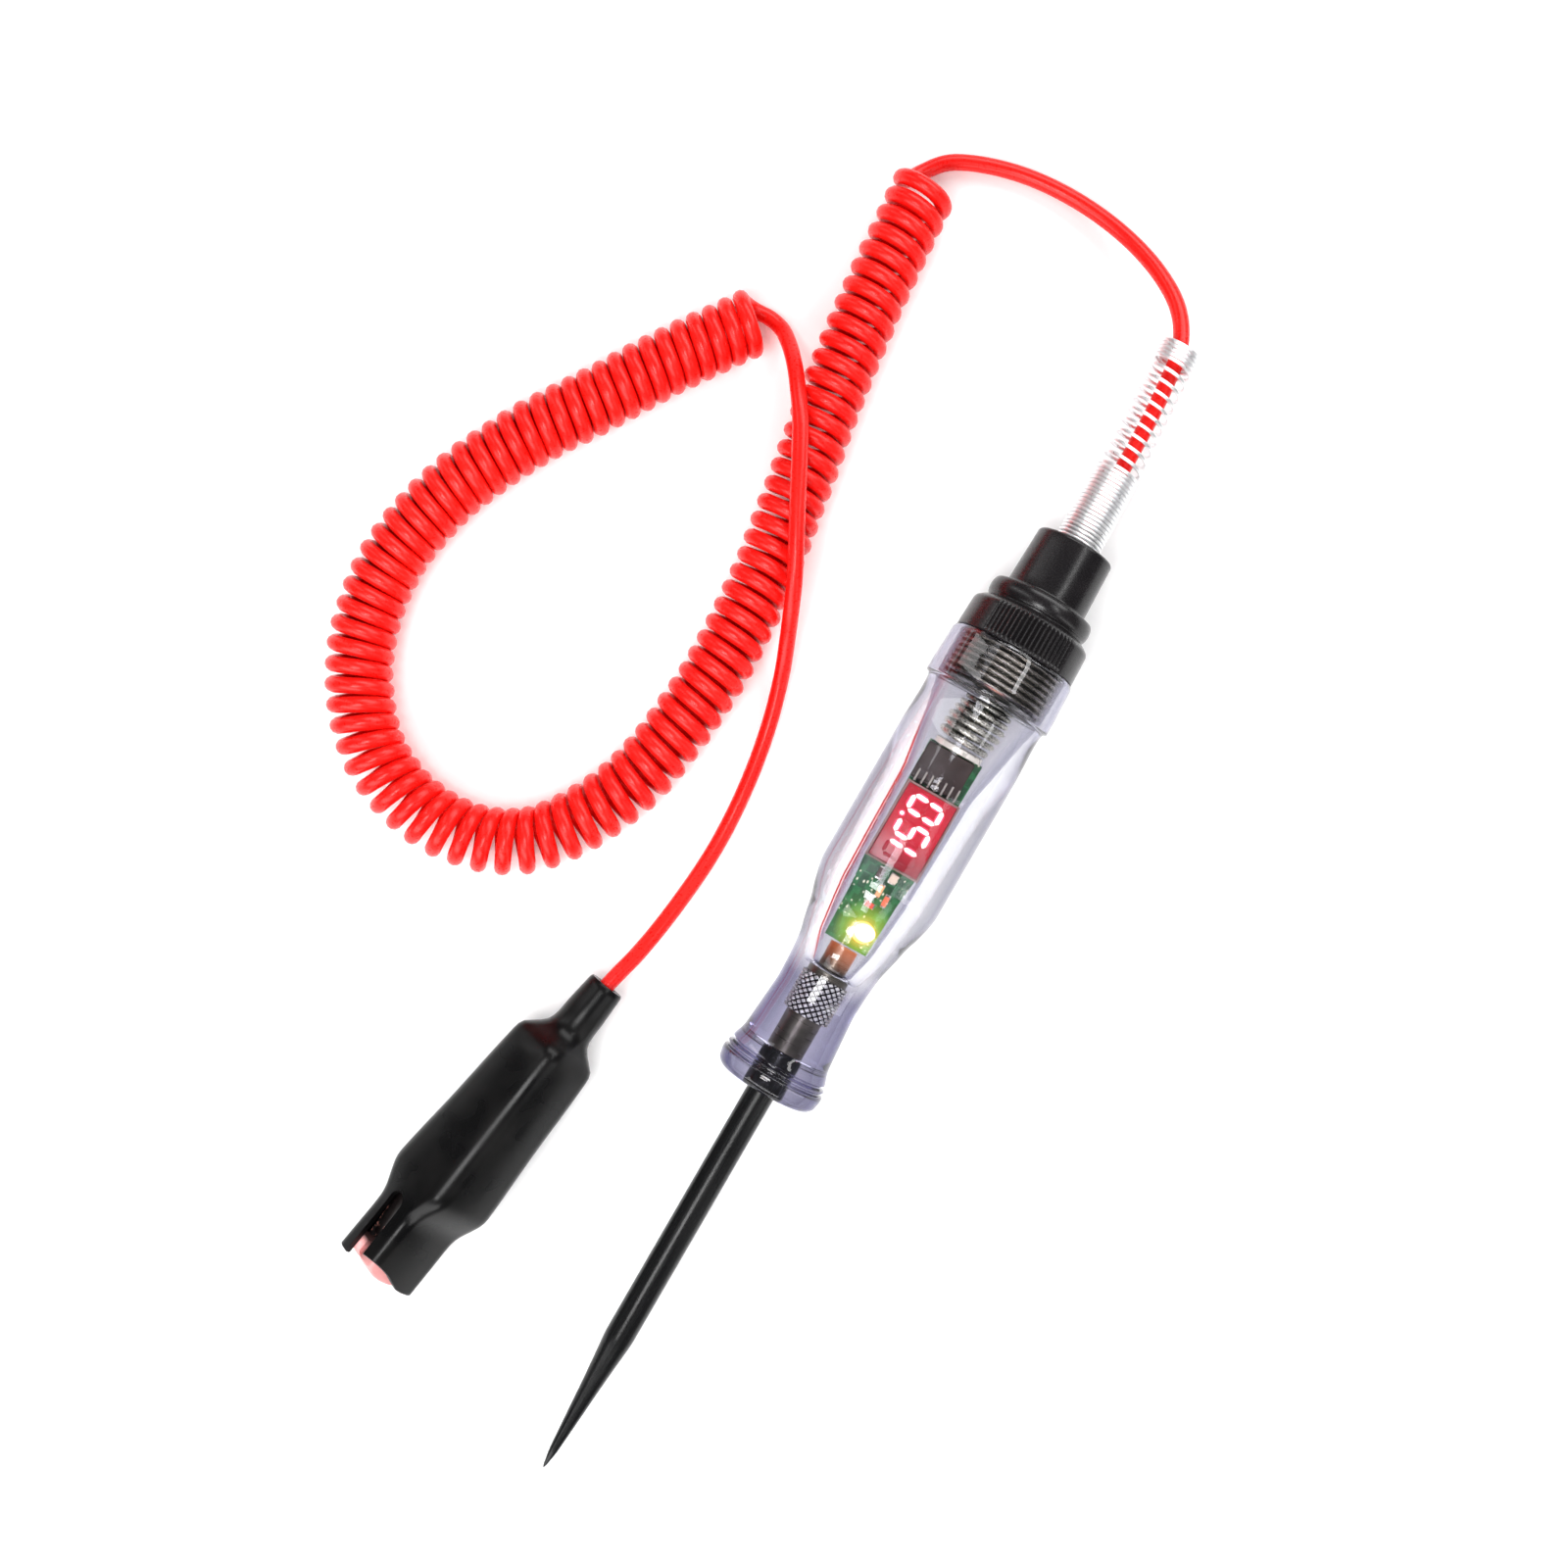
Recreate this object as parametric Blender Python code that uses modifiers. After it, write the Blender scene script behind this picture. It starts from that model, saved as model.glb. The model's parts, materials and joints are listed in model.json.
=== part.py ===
"""Circuit test light with a digital read-out, a curly lead and a booted alligator clip.

The tester lies on a flat surface with its axis along +Y, from the needle's tip to the cord. Dimensions
below are in millimetres and turn into metres where a mesh is made. The row's origin is on the surface,
under the middle of the tester. "Station" means the distance from the needle's tip along the tester.
"""

import math

import bmesh
import bpy
from mathutils import Matrix, Vector

MM = 0.001
GAP = 0.3  # clearance between neighbouring pieces
SIDES = 24  # facets round the turned pieces

# Stations along the tester
BARE_STEEL = 109.0
KNURL_START, KNURL_END = 118.6, 128.4
NOSE_FACE = 100.0
BORE_START = 130.0
TAIL_END = 137.2
BOARD_START, BOARD_END = 137.7, 186.2
THREAD_START, HANDLE_END = 201.0, 212.7
CAP_START, NECK_START, NECK_END = 213.0, 227.0, 241.2
SPRING_OPEN, SPRING_CLOSED, SPRING_TOP = 260.0, 289.0, 292.4

# Radii and cross sections
ROD_R, KNURL_R, SHANK_R = 3.4, 3.95, 3.0
BODY_R, COLLAR_R, FLARE_R = 14.8, 15.6, 12.8
BORE_R = 8.8
THREAD_PITCH = 1.5
THREAD_DEPTH = 0.9
PLUG_THREAD_R = 12.5  # mean radius of the cap's thread
SOCKET_THREAD_R = PLUG_THREAD_R + 0.4
NECK_R = 9.4
SPRING_COIL_R, SPRING_WIRE = 5.1, 0.9
BOARD_THICKNESS = 1.6
BOARD_TOP = -1.0  # height of the board's top face over the tester's axis
DISPLAY_LOW, DISPLAY_HIGH = (-6.2, 157.2), (6.2, 176.6)
DISPLAY_TOP = 3.6

# The cord and its coil
CORD_D = 3.8
COIL_D = 15.8
COIL_HEIGHT = 8.0

# The clip. Its own frame has X from the boot's mouth to its neck, Y along the pivot pin and Z the
# way the moving jaw opens.
CLIP_MOUTH = (-55.5, -126.8, 15.5)
CLIP_HEADING = math.radians(9.12)  # from +Y towards +X
CLIP_SLOPE = math.radians(4.15)  # down towards the neck
CLIP_ROLL = math.radians(41.0)
PIVOT_X = 30.5
BOOT_END = 82.9
BOOT_WALL = 1.3
SLIT_LENGTH, SLIT_WIDTH = 19.0, 4.6

AXIS_HEIGHT = COLLAR_R
TESTER_MIDDLE = SPRING_TOP / 2

COLOURS = {
    "clear_plastic": ((0.80, 0.80, 0.92, 0.35), 0.08, 0.0),
    "black_steel": ((0.02, 0.02, 0.022, 1.0), 0.35, 0.7),
    "bare_steel": ((0.55, 0.54, 0.52, 1.0), 0.3, 1.0),
    "nickel": ((0.72, 0.71, 0.68, 1.0), 0.25, 1.0),
    "board_green": ((0.03, 0.22, 0.07, 1.0), 0.4, 0.0),
    "display_black": ((0.03, 0.02, 0.02, 1.0), 0.4, 0.0),
    "display_red": ((0.75, 0.02, 0.05, 1.0), 0.25, 0.0),
    "chip_brown": ((0.05, 0.02, 0.015, 1.0), 0.45, 0.0),
    "led_yellow": ((1.0, 0.85, 0.35, 1.0), 0.15, 0.0),
    "resistor_red": ((0.45, 0.08, 0.04, 1.0), 0.4, 0.0),
    "ceramic_white": ((0.80, 0.78, 0.72, 1.0), 0.5, 0.0),
    "black_plastic": ((0.015, 0.015, 0.016, 1.0), 0.38, 0.0),
    "spring_steel": ((0.70, 0.70, 0.70, 1.0), 0.22, 1.0),
    "brass": ((0.72, 0.52, 0.25, 1.0), 0.3, 1.0),
    "cord_red": ((0.85, 0.02, 0.015, 1.0), 0.3, 0.0),
    "copper": ((0.85, 0.50, 0.42, 1.0), 0.3, 1.0),
    "boot_black": ((0.012, 0.012, 0.012, 1.0), 0.22, 0.0),
}


# ---------------------------------------------------------------- scene and materials


def clear_scene():
    for thing in list(bpy.data.objects):
        bpy.data.objects.remove(thing)


def new_collection(name):
    collection = bpy.data.collections.new(name)
    bpy.context.scene.collection.children.link(collection)
    return collection


def material(name):
    found = bpy.data.materials.get(name)
    if found:
        return found
    colour, roughness, metallic = COLOURS[name]
    made = bpy.data.materials.new(name)
    made.use_nodes = True
    shader = made.node_tree.nodes["Principled BSDF"]
    shader.inputs["Base Color"].default_value = colour
    shader.inputs["Roughness"].default_value = roughness
    shader.inputs["Metallic"].default_value = metallic
    shader.inputs["Alpha"].default_value = colour[3]
    made.diffuse_color = colour
    return made


def place(thing, parent, finish):
    """Links an object to the part's collection under its frame, with its material."""
    PART.objects.link(thing)
    thing.parent = parent
    if finish:
        thing.data.materials.append(material(finish))
    return thing


def frame_empty(name, matrix):
    empty = bpy.data.objects.new(name, None)
    PART.objects.link(empty)
    empty.matrix_world = matrix
    empty.empty_display_size = 0.01
    return empty


def smooth(mesh, angle=35.0):
    mesh.shade_smooth()
    mesh.set_sharp_from_angle(angle=math.radians(angle))


def new_object(name, mesh, parent, finish):
    return place(bpy.data.objects.new(name, mesh), parent, finish)


# ---------------------------------------------------------------- shapes


def turned(name, profile, parent, finish, closed=False, sides=SIDES):
    """A profile of (station, radius) pairs turned about the frame's Z axis. It runs down the outer side,
    from the highest station; a closed profile comes back up the inner side."""
    mesh = bpy.data.meshes.new(name)
    points = [(r * MM, 0.0, s * MM) for s, r in profile]
    edges = [(i, i + 1) for i in range(len(points) - 1)]
    if closed:
        edges.append((len(points) - 1, 0))
    mesh.from_pydata(points, edges, [])
    made = new_object(name, mesh, parent, finish)
    screw = made.modifiers.new("turn", "SCREW")
    screw.axis = "Z"
    screw.angle = math.tau
    screw.steps = sides
    screw.render_steps = sides
    screw.use_merge_vertices = True
    screw.merge_threshold = 0.00001
    screw.use_smooth_shade = True
    screw.use_normal_calculate = False
    return made


def threaded(name, rows, thread, parent, finish):
    """A solid of revolution whose surface rises and falls once per pitch between two stations. rows are
    (station, radius) from the low end to the high end, and both ends are closed flat."""
    first, last, mean = thread
    row_step = THREAD_PITCH / 4
    count = round((last - first) / row_step)
    stations = [(s, r, False) for s, r in rows if s < first]
    stations += [(first + i * row_step, mean, True) for i in range(count + 1)]
    stations += [(s, r, False) for s, r in rows if s > last]
    shape = bmesh.new()
    rings = []
    for station, radius, cut in stations:
        ring = []
        for k in range(SIDES):
            turn = k / SIDES
            r = radius
            if cut:
                r += THREAD_DEPTH / 2 * math.sin(math.tau * (station / THREAD_PITCH - turn))
            ring.append(shape.verts.new(polar(r, turn, station)))
        rings.append(ring)
    for low, high in zip(rings, rings[1:]):
        for k in range(SIDES):
            n = (k + 1) % SIDES
            shape.faces.new((low[k], low[n], high[n], high[k]))
    shape.faces.new(list(reversed(rings[0])))
    shape.faces.new(rings[-1])
    mesh = bpy.data.meshes.new(name)
    shape.to_mesh(mesh)
    shape.free()
    smooth(mesh, 50.0)
    return new_object(name, mesh, parent, finish)


def polar(radius, turn, station):
    angle = math.tau * turn
    return Vector((radius * math.cos(angle), radius * math.sin(angle), station)) * MM


def block(name, low, high, parent, finish):
    """A box between two corners, in millimetres of its frame."""
    low, high = Vector(low) * MM, Vector(high) * MM
    shape = bmesh.new()
    bmesh.ops.create_cube(shape, size=1.0)
    bmesh.ops.scale(shape, vec=high - low, verts=shape.verts)
    mesh = bpy.data.meshes.new(name)
    shape.to_mesh(mesh)
    shape.free()
    made = new_object(name, mesh, parent, finish)
    made.location = (high + low) / 2
    return made


def outline(name, points, low, high, parent, finish):
    """A flat outline in the frame's XY plane, extruded from height low to height high."""
    curve = bpy.data.curves.new(name, "CURVE")
    curve.dimensions = "2D"
    curve.fill_mode = "BOTH"
    curve.extrude = (high - low) / 2 * MM
    spline = curve.splines.new("POLY")
    spline.points.add(len(points) - 1)
    for point, (x, y) in zip(spline.points, points):
        point.co = (x * MM, y * MM, 0.0, 1.0)
    spline.use_cyclic_u = True
    made = place(bpy.data.objects.new(name, curve), parent, finish)
    made.location = (0.0, 0.0, (high + low) / 2 * MM)
    return as_mesh(made)


def wire(name, points, radius, parent, finish, resolution=2):
    """A round wire through a list of points in metres, with both ends closed."""
    curve = bpy.data.curves.new(name, "CURVE")
    curve.dimensions = "3D"
    curve.bevel_depth = radius * MM
    curve.bevel_resolution = resolution
    curve.use_fill_caps = True
    spline = curve.splines.new("POLY")
    spline.points.add(len(points) - 1)
    for point, place_at in zip(spline.points, points):
        point.co = (*place_at, 1.0)
    return place(bpy.data.objects.new(name, curve), parent, finish)


def as_mesh(curve_object):
    """The same object as one closed mesh, with its end caps welded."""
    bpy.context.view_layer.update()
    graph = bpy.context.evaluated_depsgraph_get()
    mesh = bpy.data.meshes.new_from_object(curve_object.evaluated_get(graph))
    shape = bmesh.new()
    shape.from_mesh(mesh)
    bmesh.ops.remove_doubles(shape, verts=shape.verts, dist=0.00001)
    bmesh.ops.recalc_face_normals(shape, faces=shape.faces)
    shape.to_mesh(mesh)
    shape.free()
    name, matrix, parent = curve_object.name, curve_object.matrix_world.copy(), curve_object.parent
    home = curve_object.users_collection[0]
    bpy.data.objects.remove(curve_object)
    made = bpy.data.objects.new(name, mesh)
    home.objects.link(made)
    made.parent = parent
    made.matrix_world = matrix
    return made


def combine(target, tool, operation):
    """Cuts or joins a piece with a tool object, which stays out of the build."""
    cut = target.modifiers.new(operation.lower(), "BOOLEAN")
    cut.operation = operation
    cut.object = tool
    cut.solver = "EXACT"
    tool.hide_render = True
    tool.display_type = "WIRE"
    for old in tool.users_collection:
        old.objects.unlink(tool)
    TOOLS.objects.link(tool)


def smooth_route(route, step):
    """Points about every step millimetres along a smooth curve through a route, in metres."""
    knots = [Vector(p) for p in route]
    knots = [knots[0] * 2 - knots[1]] + knots + [knots[-1] * 2 - knots[-2]]
    fine = []
    for a, b, c, d in zip(knots, knots[1:], knots[2:], knots[3:]):
        for i in range(40):
            t = i / 40
            fine.append(
                0.5
                * (
                    2 * b
                    + (c - a) * t
                    + (2 * a - 5 * b + 4 * c - d) * t**2
                    + (3 * b - a - 3 * c + d) * t**3
                )
            )
    fine.append(knots[-2])
    along = [0.0]
    for a, b in zip(fine, fine[1:]):
        along.append(along[-1] + (b - a).length)
    count = max(2, round(along[-1] / step))
    points = []
    k = 0
    for i in range(count + 1):
        want = along[-1] * i / count
        while k < len(along) - 2 and along[k + 1] < want:
            k += 1
        share = (want - along[k]) / (along[k + 1] - along[k])
        points.append(fine[k].lerp(fine[k + 1], share) * MM)
    return points


# ---------------------------------------------------------------- the handle and what it holds


def probe_rod():
    """Black needle with a knurled steel tail, which the handle is moulded round."""
    tail_r = 2.2
    profile = [
        (TAIL_END - 0.4, 0.0),
        (TAIL_END - 0.4, tail_r),
        (BORE_START + 0.2, tail_r),
        (BORE_START + 0.2, ROD_R),
        (KNURL_END, ROD_R),
        (KNURL_END, KNURL_R),
        (KNURL_START, KNURL_R),
        (KNURL_START, SHANK_R),
        (BARE_STEEL, SHANK_R),
        (BARE_STEEL, ROD_R),
        (34.5, ROD_R),
        (33.0, 3.3),
        (29.0, 2.9),
        (22.0, 2.3),
        (11.0, 1.5),
        (4.4, 1.0),
        (0.8, 0.35),
        (0.0, 0.0),
    ]
    return turned("probe_rod", profile, PEN, "black_steel")


def contact_bush():
    """Steel sleeve on the needle's tail, which the board is soldered to."""
    profile = [
        (TAIL_END, ROD_R),
        (BORE_START + 0.6, ROD_R),
        (BORE_START + 0.6, 2.2 + GAP),
        (TAIL_END, 2.2 + GAP),
    ]
    return turned("contact_bush", profile, PEN, "bare_steel", closed=True)


def handle_shell():
    """Clear handle: a solid nose moulded on the needle, a bore for the board and a threaded collar."""
    profile = [
        (HANDLE_END, 0.0),
        (HANDLE_END, 14.9),
        (HANDLE_END - 0.6, 15.25),
        (208.0, 15.4),
        (204.0, COLLAR_R),
        (201.0, COLLAR_R),
        (199.4, 15.1),
        (196.0, 14.5),
        (189.0, BODY_R),
        (152.0, BODY_R),
        (149.6, 14.4),
        (145.5, 13.4),
        (143.0, 12.5),
        (139.0, 11.7),
        (134.5, 10.55),
        (130.0, 10.1),
        (123.5, 9.8),
        (116.0, 10.4),
        (110.0, 10.9),
        (107.0, 11.9),
        (105.8, 12.4),
        (103.6, FLARE_R),
        (101.2, 12.4),
        (NOSE_FACE, 11.2),
        (NOSE_FACE, 0.0),
    ]
    shell = turned("handle_shell", profile, PEN, "clear_plastic", sides=32)
    rows = [
        (NOSE_FACE - 2.0, ROD_R + GAP),
        (BARE_STEEL + GAP, ROD_R + GAP),
        (BARE_STEEL + GAP + 0.1, SHANK_R + GAP),
        (KNURL_START - GAP - 0.1, SHANK_R + GAP),
        (KNURL_START - GAP, KNURL_R + GAP),
        (KNURL_END + GAP, KNURL_R + GAP),
        (KNURL_END + GAP + 0.1, ROD_R + GAP),
        (BORE_START, ROD_R + GAP),
        (BORE_START + 0.1, 4.6),
        (138.0, 6.5),
        (151.0, 7.9),
        (THREAD_START - 1.0, BORE_R + 0.4),
        (THREAD_START - 0.9, SOCKET_THREAD_R),
        (HANDLE_END + 1.2, SOCKET_THREAD_R),
    ]
    thread = (THREAD_START - 0.8, HANDLE_END + 1.0, SOCKET_THREAD_R)
    combine(shell, threaded("handle_bore", rows, thread, PEN, None), "DIFFERENCE")
    return shell


def circuit_board():
    """Green board, narrower at the lamp end. PEN's Y axis points down, so heights change sign."""
    points = [
        (-5.7, BOARD_START),
        (5.7, BOARD_START),
        (6.1, 151.0),
        (6.9, 156.5),
        (6.9, BOARD_END),
        (-6.9, BOARD_END),
        (-6.9, 156.5),
        (-6.1, 151.0),
    ]
    return outline(
        "circuit_board",
        points,
        BOARD_TOP - BOARD_THICKNESS,
        BOARD_TOP,
        FLAT,
        "board_green",
    )


def display():
    """Three-digit read-out: a black housing with a red window let into its top."""
    base = BOARD_TOP + GAP
    housing = block(
        "display_housing",
        (*DISPLAY_LOW, base),
        (*DISPLAY_HIGH, DISPLAY_TOP),
        FLAT,
        "display_black",
    )
    rim, depth = 0.7, 1.2
    pocket = block(
        "display_pocket",
        (DISPLAY_LOW[0] + rim, DISPLAY_LOW[1] + rim, DISPLAY_TOP - depth),
        (DISPLAY_HIGH[0] - rim, DISPLAY_HIGH[1] - rim, DISPLAY_TOP + 1.0),
        FLAT,
        None,
    )
    combine(housing, pocket, "DIFFERENCE")
    inset = rim + GAP
    block(
        "display_window",
        (DISPLAY_LOW[0] + inset, DISPLAY_LOW[1] + inset, DISPLAY_TOP - depth + GAP),
        (DISPLAY_HIGH[0] - inset, DISPLAY_HIGH[1] - inset, DISPLAY_TOP - 0.1),
        FLAT,
        "display_red",
    )


def board_parts():
    """The small parts soldered to the board's top face."""
    base = BOARD_TOP + GAP
    chip = block(
        "controller_chip", (-6.2, 179.6, base + 0.2), (6.2, 184.4, base + 2.2), FLAT, "chip_brown"
    )
    leads = 7
    for i in range(leads):
        x = -4.8 + 9.6 * i / (leads - 1)
        lead = block(
            f"chip_lead_{i}", (x - 0.25, 177.6, base), (x + 0.25, 185.8, base + 0.6), FLAT, None
        )
        combine(chip, lead, "UNION")
    spots = {
        "resistor_1": ((0.1, 148.7), (2.0, 1.2, 0.7), "resistor_red"),
        "resistor_2": ((2.9, 150.8), (1.2, 2.0, 0.7), "resistor_red"),
        "resistor_3": ((0.6, 151.9), (1.2, 2.0, 0.7), "ceramic_white"),
        "transistor": ((-1.3, 155.1), (1.5, 2.4, 1.1), "display_black"),
        "capacitor": ((1.9, 155.3), (1.8, 2.0, 1.4), "ceramic_white"),
    }
    for name, ((x, y), (wide, long, tall), finish) in spots.items():
        block(
            name,
            (x - wide / 2, y - long / 2, base),
            (x + wide / 2, y + long / 2, base + tall),
            FLAT,
            finish,
        )


def indicator_led():
    """Round lamp standing on the board's front end, with a flange and a domed top."""
    base, flange, radius = BOARD_TOP + GAP, 2.5, 2.15
    top = 4.2
    profile = [(top, 0.0), (top - 0.25, 1.0), (top - 0.9, 1.8), (top - 1.9, radius)]
    profile += [(base + 0.9, radius), (base + 0.9, flange), (base, flange), (base, 0.0)]
    lamp = turned("indicator_led", profile, None, "led_yellow", sides=16)
    lamp.parent = FLAT
    lamp.location = (2.0 * MM, 142.6 * MM, 0.0)
    return lamp


def spring_seat():
    """Tinned disc on the board's end, which the contact spring stands on."""
    profile = [(188.0, 0.0), (188.0, 5.9), (186.6, 5.9), (186.6, 0.0)]
    return turned("spring_seat", profile, PEN, "ceramic_white")


def helix(radius_at, start, end, turns, per_turn, centre_at, phase=0.0):
    """Points of a helix about the frame's Z axis, in metres."""
    count = round(turns * per_turn)
    points = []
    for i in range(count + 1):
        share = i / count
        station = start + (end - start) * share
        angle = math.tau * (turns * share + phase)
        radius = radius_at(share)
        x, y = centre_at(station)
        points.append(
            Vector((x + radius * math.cos(angle), y + radius * math.sin(angle), station)) * MM
        )
    return points


def contact_spring():
    """Compression spring from the disc to the plug, wider and leaning aside at its far end."""
    points = helix(
        lambda share: 5.3 + 0.5 * share,
        189.0,
        200.5,
        6.5,
        10,
        lambda station: (1.0 * (station - 189.0) / 11.5, 0.0),
    )
    made = wire("contact_spring", points, 0.6, PEN, None, resolution=1)
    made = as_mesh(made)
    made.data.materials.append(material("spring_steel"))
    return made


# ---------------------------------------------------------------- the screw cap


def screw_cap():
    """Black cap: a grip ring over the plug's tail, a shoulder bead, and a neck for the cord's spring."""
    profile = [
        (NECK_END, NECK_R - 0.3),
        (NECK_END - 0.6, NECK_R - 0.1),
        (NECK_START + 0.6, NECK_R + 0.2),
        (NECK_START, 11.6),
        (226.2, 12.3),
        (223.6, 12.6),
        (222.4, 13.0),
        (221.2, 14.1),
        (220.4, 14.3),
        (CAP_START + 0.8, 14.75),
        (CAP_START, 14.3),
        (CAP_START, 10.6),
        (221.4, 10.6),
        (221.4, 2.6),
        (226.0, 2.6),
        (226.0, SPRING_COIL_R + SPRING_WIRE / 2 + GAP),
        (NECK_END, SPRING_COIL_R + SPRING_WIRE / 2 + GAP),
    ]
    return turned("screw_cap", profile, PEN, "black_plastic", closed=True, sides=32)


def thread_plug():
    """Plated metal plug with the cap's screw thread, closed in front, where the spring touches it."""
    front = THREAD_START + 0.8
    rows = [
        (front, PLUG_THREAD_R - THREAD_DEPTH / 2),
        (CAP_START - GAP, PLUG_THREAD_R - THREAD_DEPTH / 2),
        (CAP_START - GAP + 0.01, 10.2),
        (221.0, 10.2),
    ]
    thread = (front + 0.2, CAP_START - 0.8, PLUG_THREAD_R)
    plug = threaded("thread_plug", rows, thread, PEN, "nickel")
    hollow = turned(
        "plug_hollow",
        [(222.0, 0.0), (222.0, 8.8), (203.4, 8.8), (203.4, 0.0)],
        PEN,
        None,
    )
    combine(plug, hollow, "DIFFERENCE")
    return plug


# ---------------------------------------------------------------- the cord end


def spring_bend(station):
    """How far the cord's spring bends aside, towards -X."""
    share = max(0.0, (station - NECK_END) / (SPRING_TOP - NECK_END))
    return (-2.0 * share**2, 0.0)


def strain_relief_spring():
    """Spring round the cord: a close-wound foot in the cap's neck, open turns, a close-wound end."""
    outer = SPRING_COIL_R + SPRING_WIRE / 2
    inner = SPRING_COIL_R - SPRING_WIRE / 2
    foot = turned(
        "strain_relief_spring",
        [(SPRING_OPEN, outer - 0.2), (226.6, outer), (226.6, inner), (SPRING_OPEN, inner - 0.2)],
        PEN,
        "spring_steel",
        closed=True,
        sides=16,
    )
    turns = helix(
        lambda share: SPRING_COIL_R - 0.2 - 0.2 * share,
        SPRING_OPEN - 0.35,
        SPRING_CLOSED + 0.35,
        10.5,
        9,
        spring_bend,
    )
    open_turns = as_mesh(wire("spring_open_turns", turns, SPRING_WIRE / 2, PEN, None, resolution=0))
    combine(foot, open_turns, "UNION")
    end = turned(
        "spring_end",
        [
            (SPRING_TOP, outer - 0.4),
            (SPRING_CLOSED, outer - 0.4),
            (SPRING_CLOSED, inner - 0.4),
            (SPRING_TOP, inner - 0.4),
        ],
        PEN,
        None,
        closed=True,
        sides=16,
    )
    end.location = (spring_bend(SPRING_TOP - 1.7)[0] * MM, 0.0, 0.0)
    combine(foot, end, "UNION")
    return foot


def cord_terminal():
    """Brass contact on the cord's end: a disc that presses on the plug, with a ferrule for the wire."""
    profile = [
        (213.4, 0.0),
        (213.4, 2.6),
        (205.0, 2.6),
        (205.0, 6.2),
        (203.8, 6.2),
        (203.8, 0.0),
    ]
    return turned("cord_terminal", profile, PEN, "brass", sides=16)


# Routes in millimetres of the row's frame
UPPER_ROUTE = [
    (0.0, 67.5, 15.6),
    (0.0, 80.0, 15.6),
    (0.0, 94.0, 15.6),
    (0.2, 108.0, 15.6),
    (0.2, 122.0, 15.5),
    (-0.6, 136.0, 15.0),
    (-2.2, 147.0, 13.4),
    (-6.4, 154.6, 11.0),
    (-13.5, 160.5, 8.0),
    (-24.5, 165.4, 4.8),
    (-38.5, 167.8, 2.9),
    (-53.0, 167.0, 2.2),
    (-65.0, 163.4, 2.2),
    (-70.6, 160.2, 2.1),
    (-74.2, 155.6, 2.2),
    (-75.4, 153.4, 2.8),
]
COIL_ROUTE = [
    (-71.2, 150.6),
    (-69.3, 126.5),
    (-66.2, 101.0),
    (-62.0, 76.5),
    (-58.2, 51.0),
    (-57.4, 24.0),
    (-62.0, -4.5),
    (-75.5, -25.8),
    (-94.5, -32.2),
    (-115.0, -26.4),
    (-129.0, -10.0),
    (-134.6, 11.0),
    (-132.0, 32.0),
    (-123.2, 53.0),
    (-112.6, 70.0),
    (-102.0, 87.0),
    (-90.2, 104.0),
]
LOWER_ROUTE = [
    (-88.4, 108.2, 2.4),
    (-84.4, 107.3, 3.3),
    (-80.4, 104.2, 6.6),
    (-76.2, 99.5, 11.4),
    (-72.6, 94.6, 15.2),
    (-69.0, 89.4, 17.6),
    (-64.4, 81.2, 18.6),
    (-59.4, 71.6, 18.6),
    (-54.8, 63.0, 17.8),
    (-51.2, 56.0, 16.0),
    (-48.6, 50.0, 12.8),
    (-46.4, 44.6, 8.6),
    (-43.4, 36.6, 4.4),
    (-40.0, 24.0, 2.2),
    (-37.6, 9.0, 2.1),
    (-36.8, -6.0, 2.4),
    (-37.8, -21.0, 4.4),
    (-39.8, -34.5, 7.6),
]


def cord():
    """The lead from the cap to the coil, the coil as one fat tube, and the lead on to the clip."""
    start = Vector((0.0, 213.8 - TESTER_MIDDLE, AXIS_HEIGHT))
    upper = smooth_route([start] + UPPER_ROUTE, 9.0)
    wire("cord_lead_upper", upper, CORD_D / 2, None, "cord_red")
    coil = smooth_route([(x, y, COIL_HEIGHT) for x, y in COIL_ROUTE], 10.0)
    wire("cord_coil", coil, COIL_D / 2, None, "cord_red", resolution=3)
    neck = CLIP_MATRIX @ (Vector((BOOT_END, 0.0, 0.0)) * MM)
    inside = CLIP_MATRIX @ (Vector((66.6, 0.0, 0.0)) * MM)
    lower = smooth_route(LOWER_ROUTE + [neck / MM, (neck + inside) / 2 / MM, inside / MM], 9.0)
    wire("cord_lead_lower", lower, CORD_D / 2, None, "cord_red")


# ---------------------------------------------------------------- the clip


def clip_matrix():
    """Where the clip's frame stands: X along the boot, Z the way the jaw opens."""
    heading, slope = CLIP_HEADING, CLIP_SLOPE
    along = Vector(
        (
            math.sin(heading) * math.cos(slope),
            math.cos(heading) * math.cos(slope),
            -math.sin(slope),
        )
    )
    level = Vector((math.cos(heading), -math.sin(heading), 0.0))
    up = level.cross(along)
    opening = level * math.cos(CLIP_ROLL) + up * math.sin(CLIP_ROLL)
    pin = opening.cross(along)
    rotation = Matrix((along, pin, opening)).transposed().to_4x4()
    return Matrix.Translation(Vector(CLIP_MOUTH) * MM) @ rotation


def teeth(start, end, count, tip, root):
    """Saw teeth along X between two heights, as (x, z) points."""
    pitch = (end - start) / count
    points = []
    for i in range(count):
        points.append((start + pitch * i, root))
        points.append((start + pitch * (i + 0.5), tip))
    points.append((end, root))
    return points


def jaw(name, side, width, channel_low, frame, plan):
    """A formed sheet jaw: its side outline across the full width, cut to its plan and hollowed out."""
    made = outline(name, side, -width / 2, width / 2, frame, None)
    made.data.materials.append(material("copper"))
    trim = outline(name + "_plan", plan, -12.0, 12.0, CLIP, None)
    combine(made, trim, "INTERSECT")
    combine(made, channel_low, "DIFFERENCE")
    hole = turned(
        name + "_hole", [(9.0, 0.0), (9.0, 1.5), (-9.0, 1.5), (-9.0, 0.0)], None, None, sides=12
    )
    hole.parent = PIN
    combine(made, hole, "DIFFERENCE")
    return made


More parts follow.
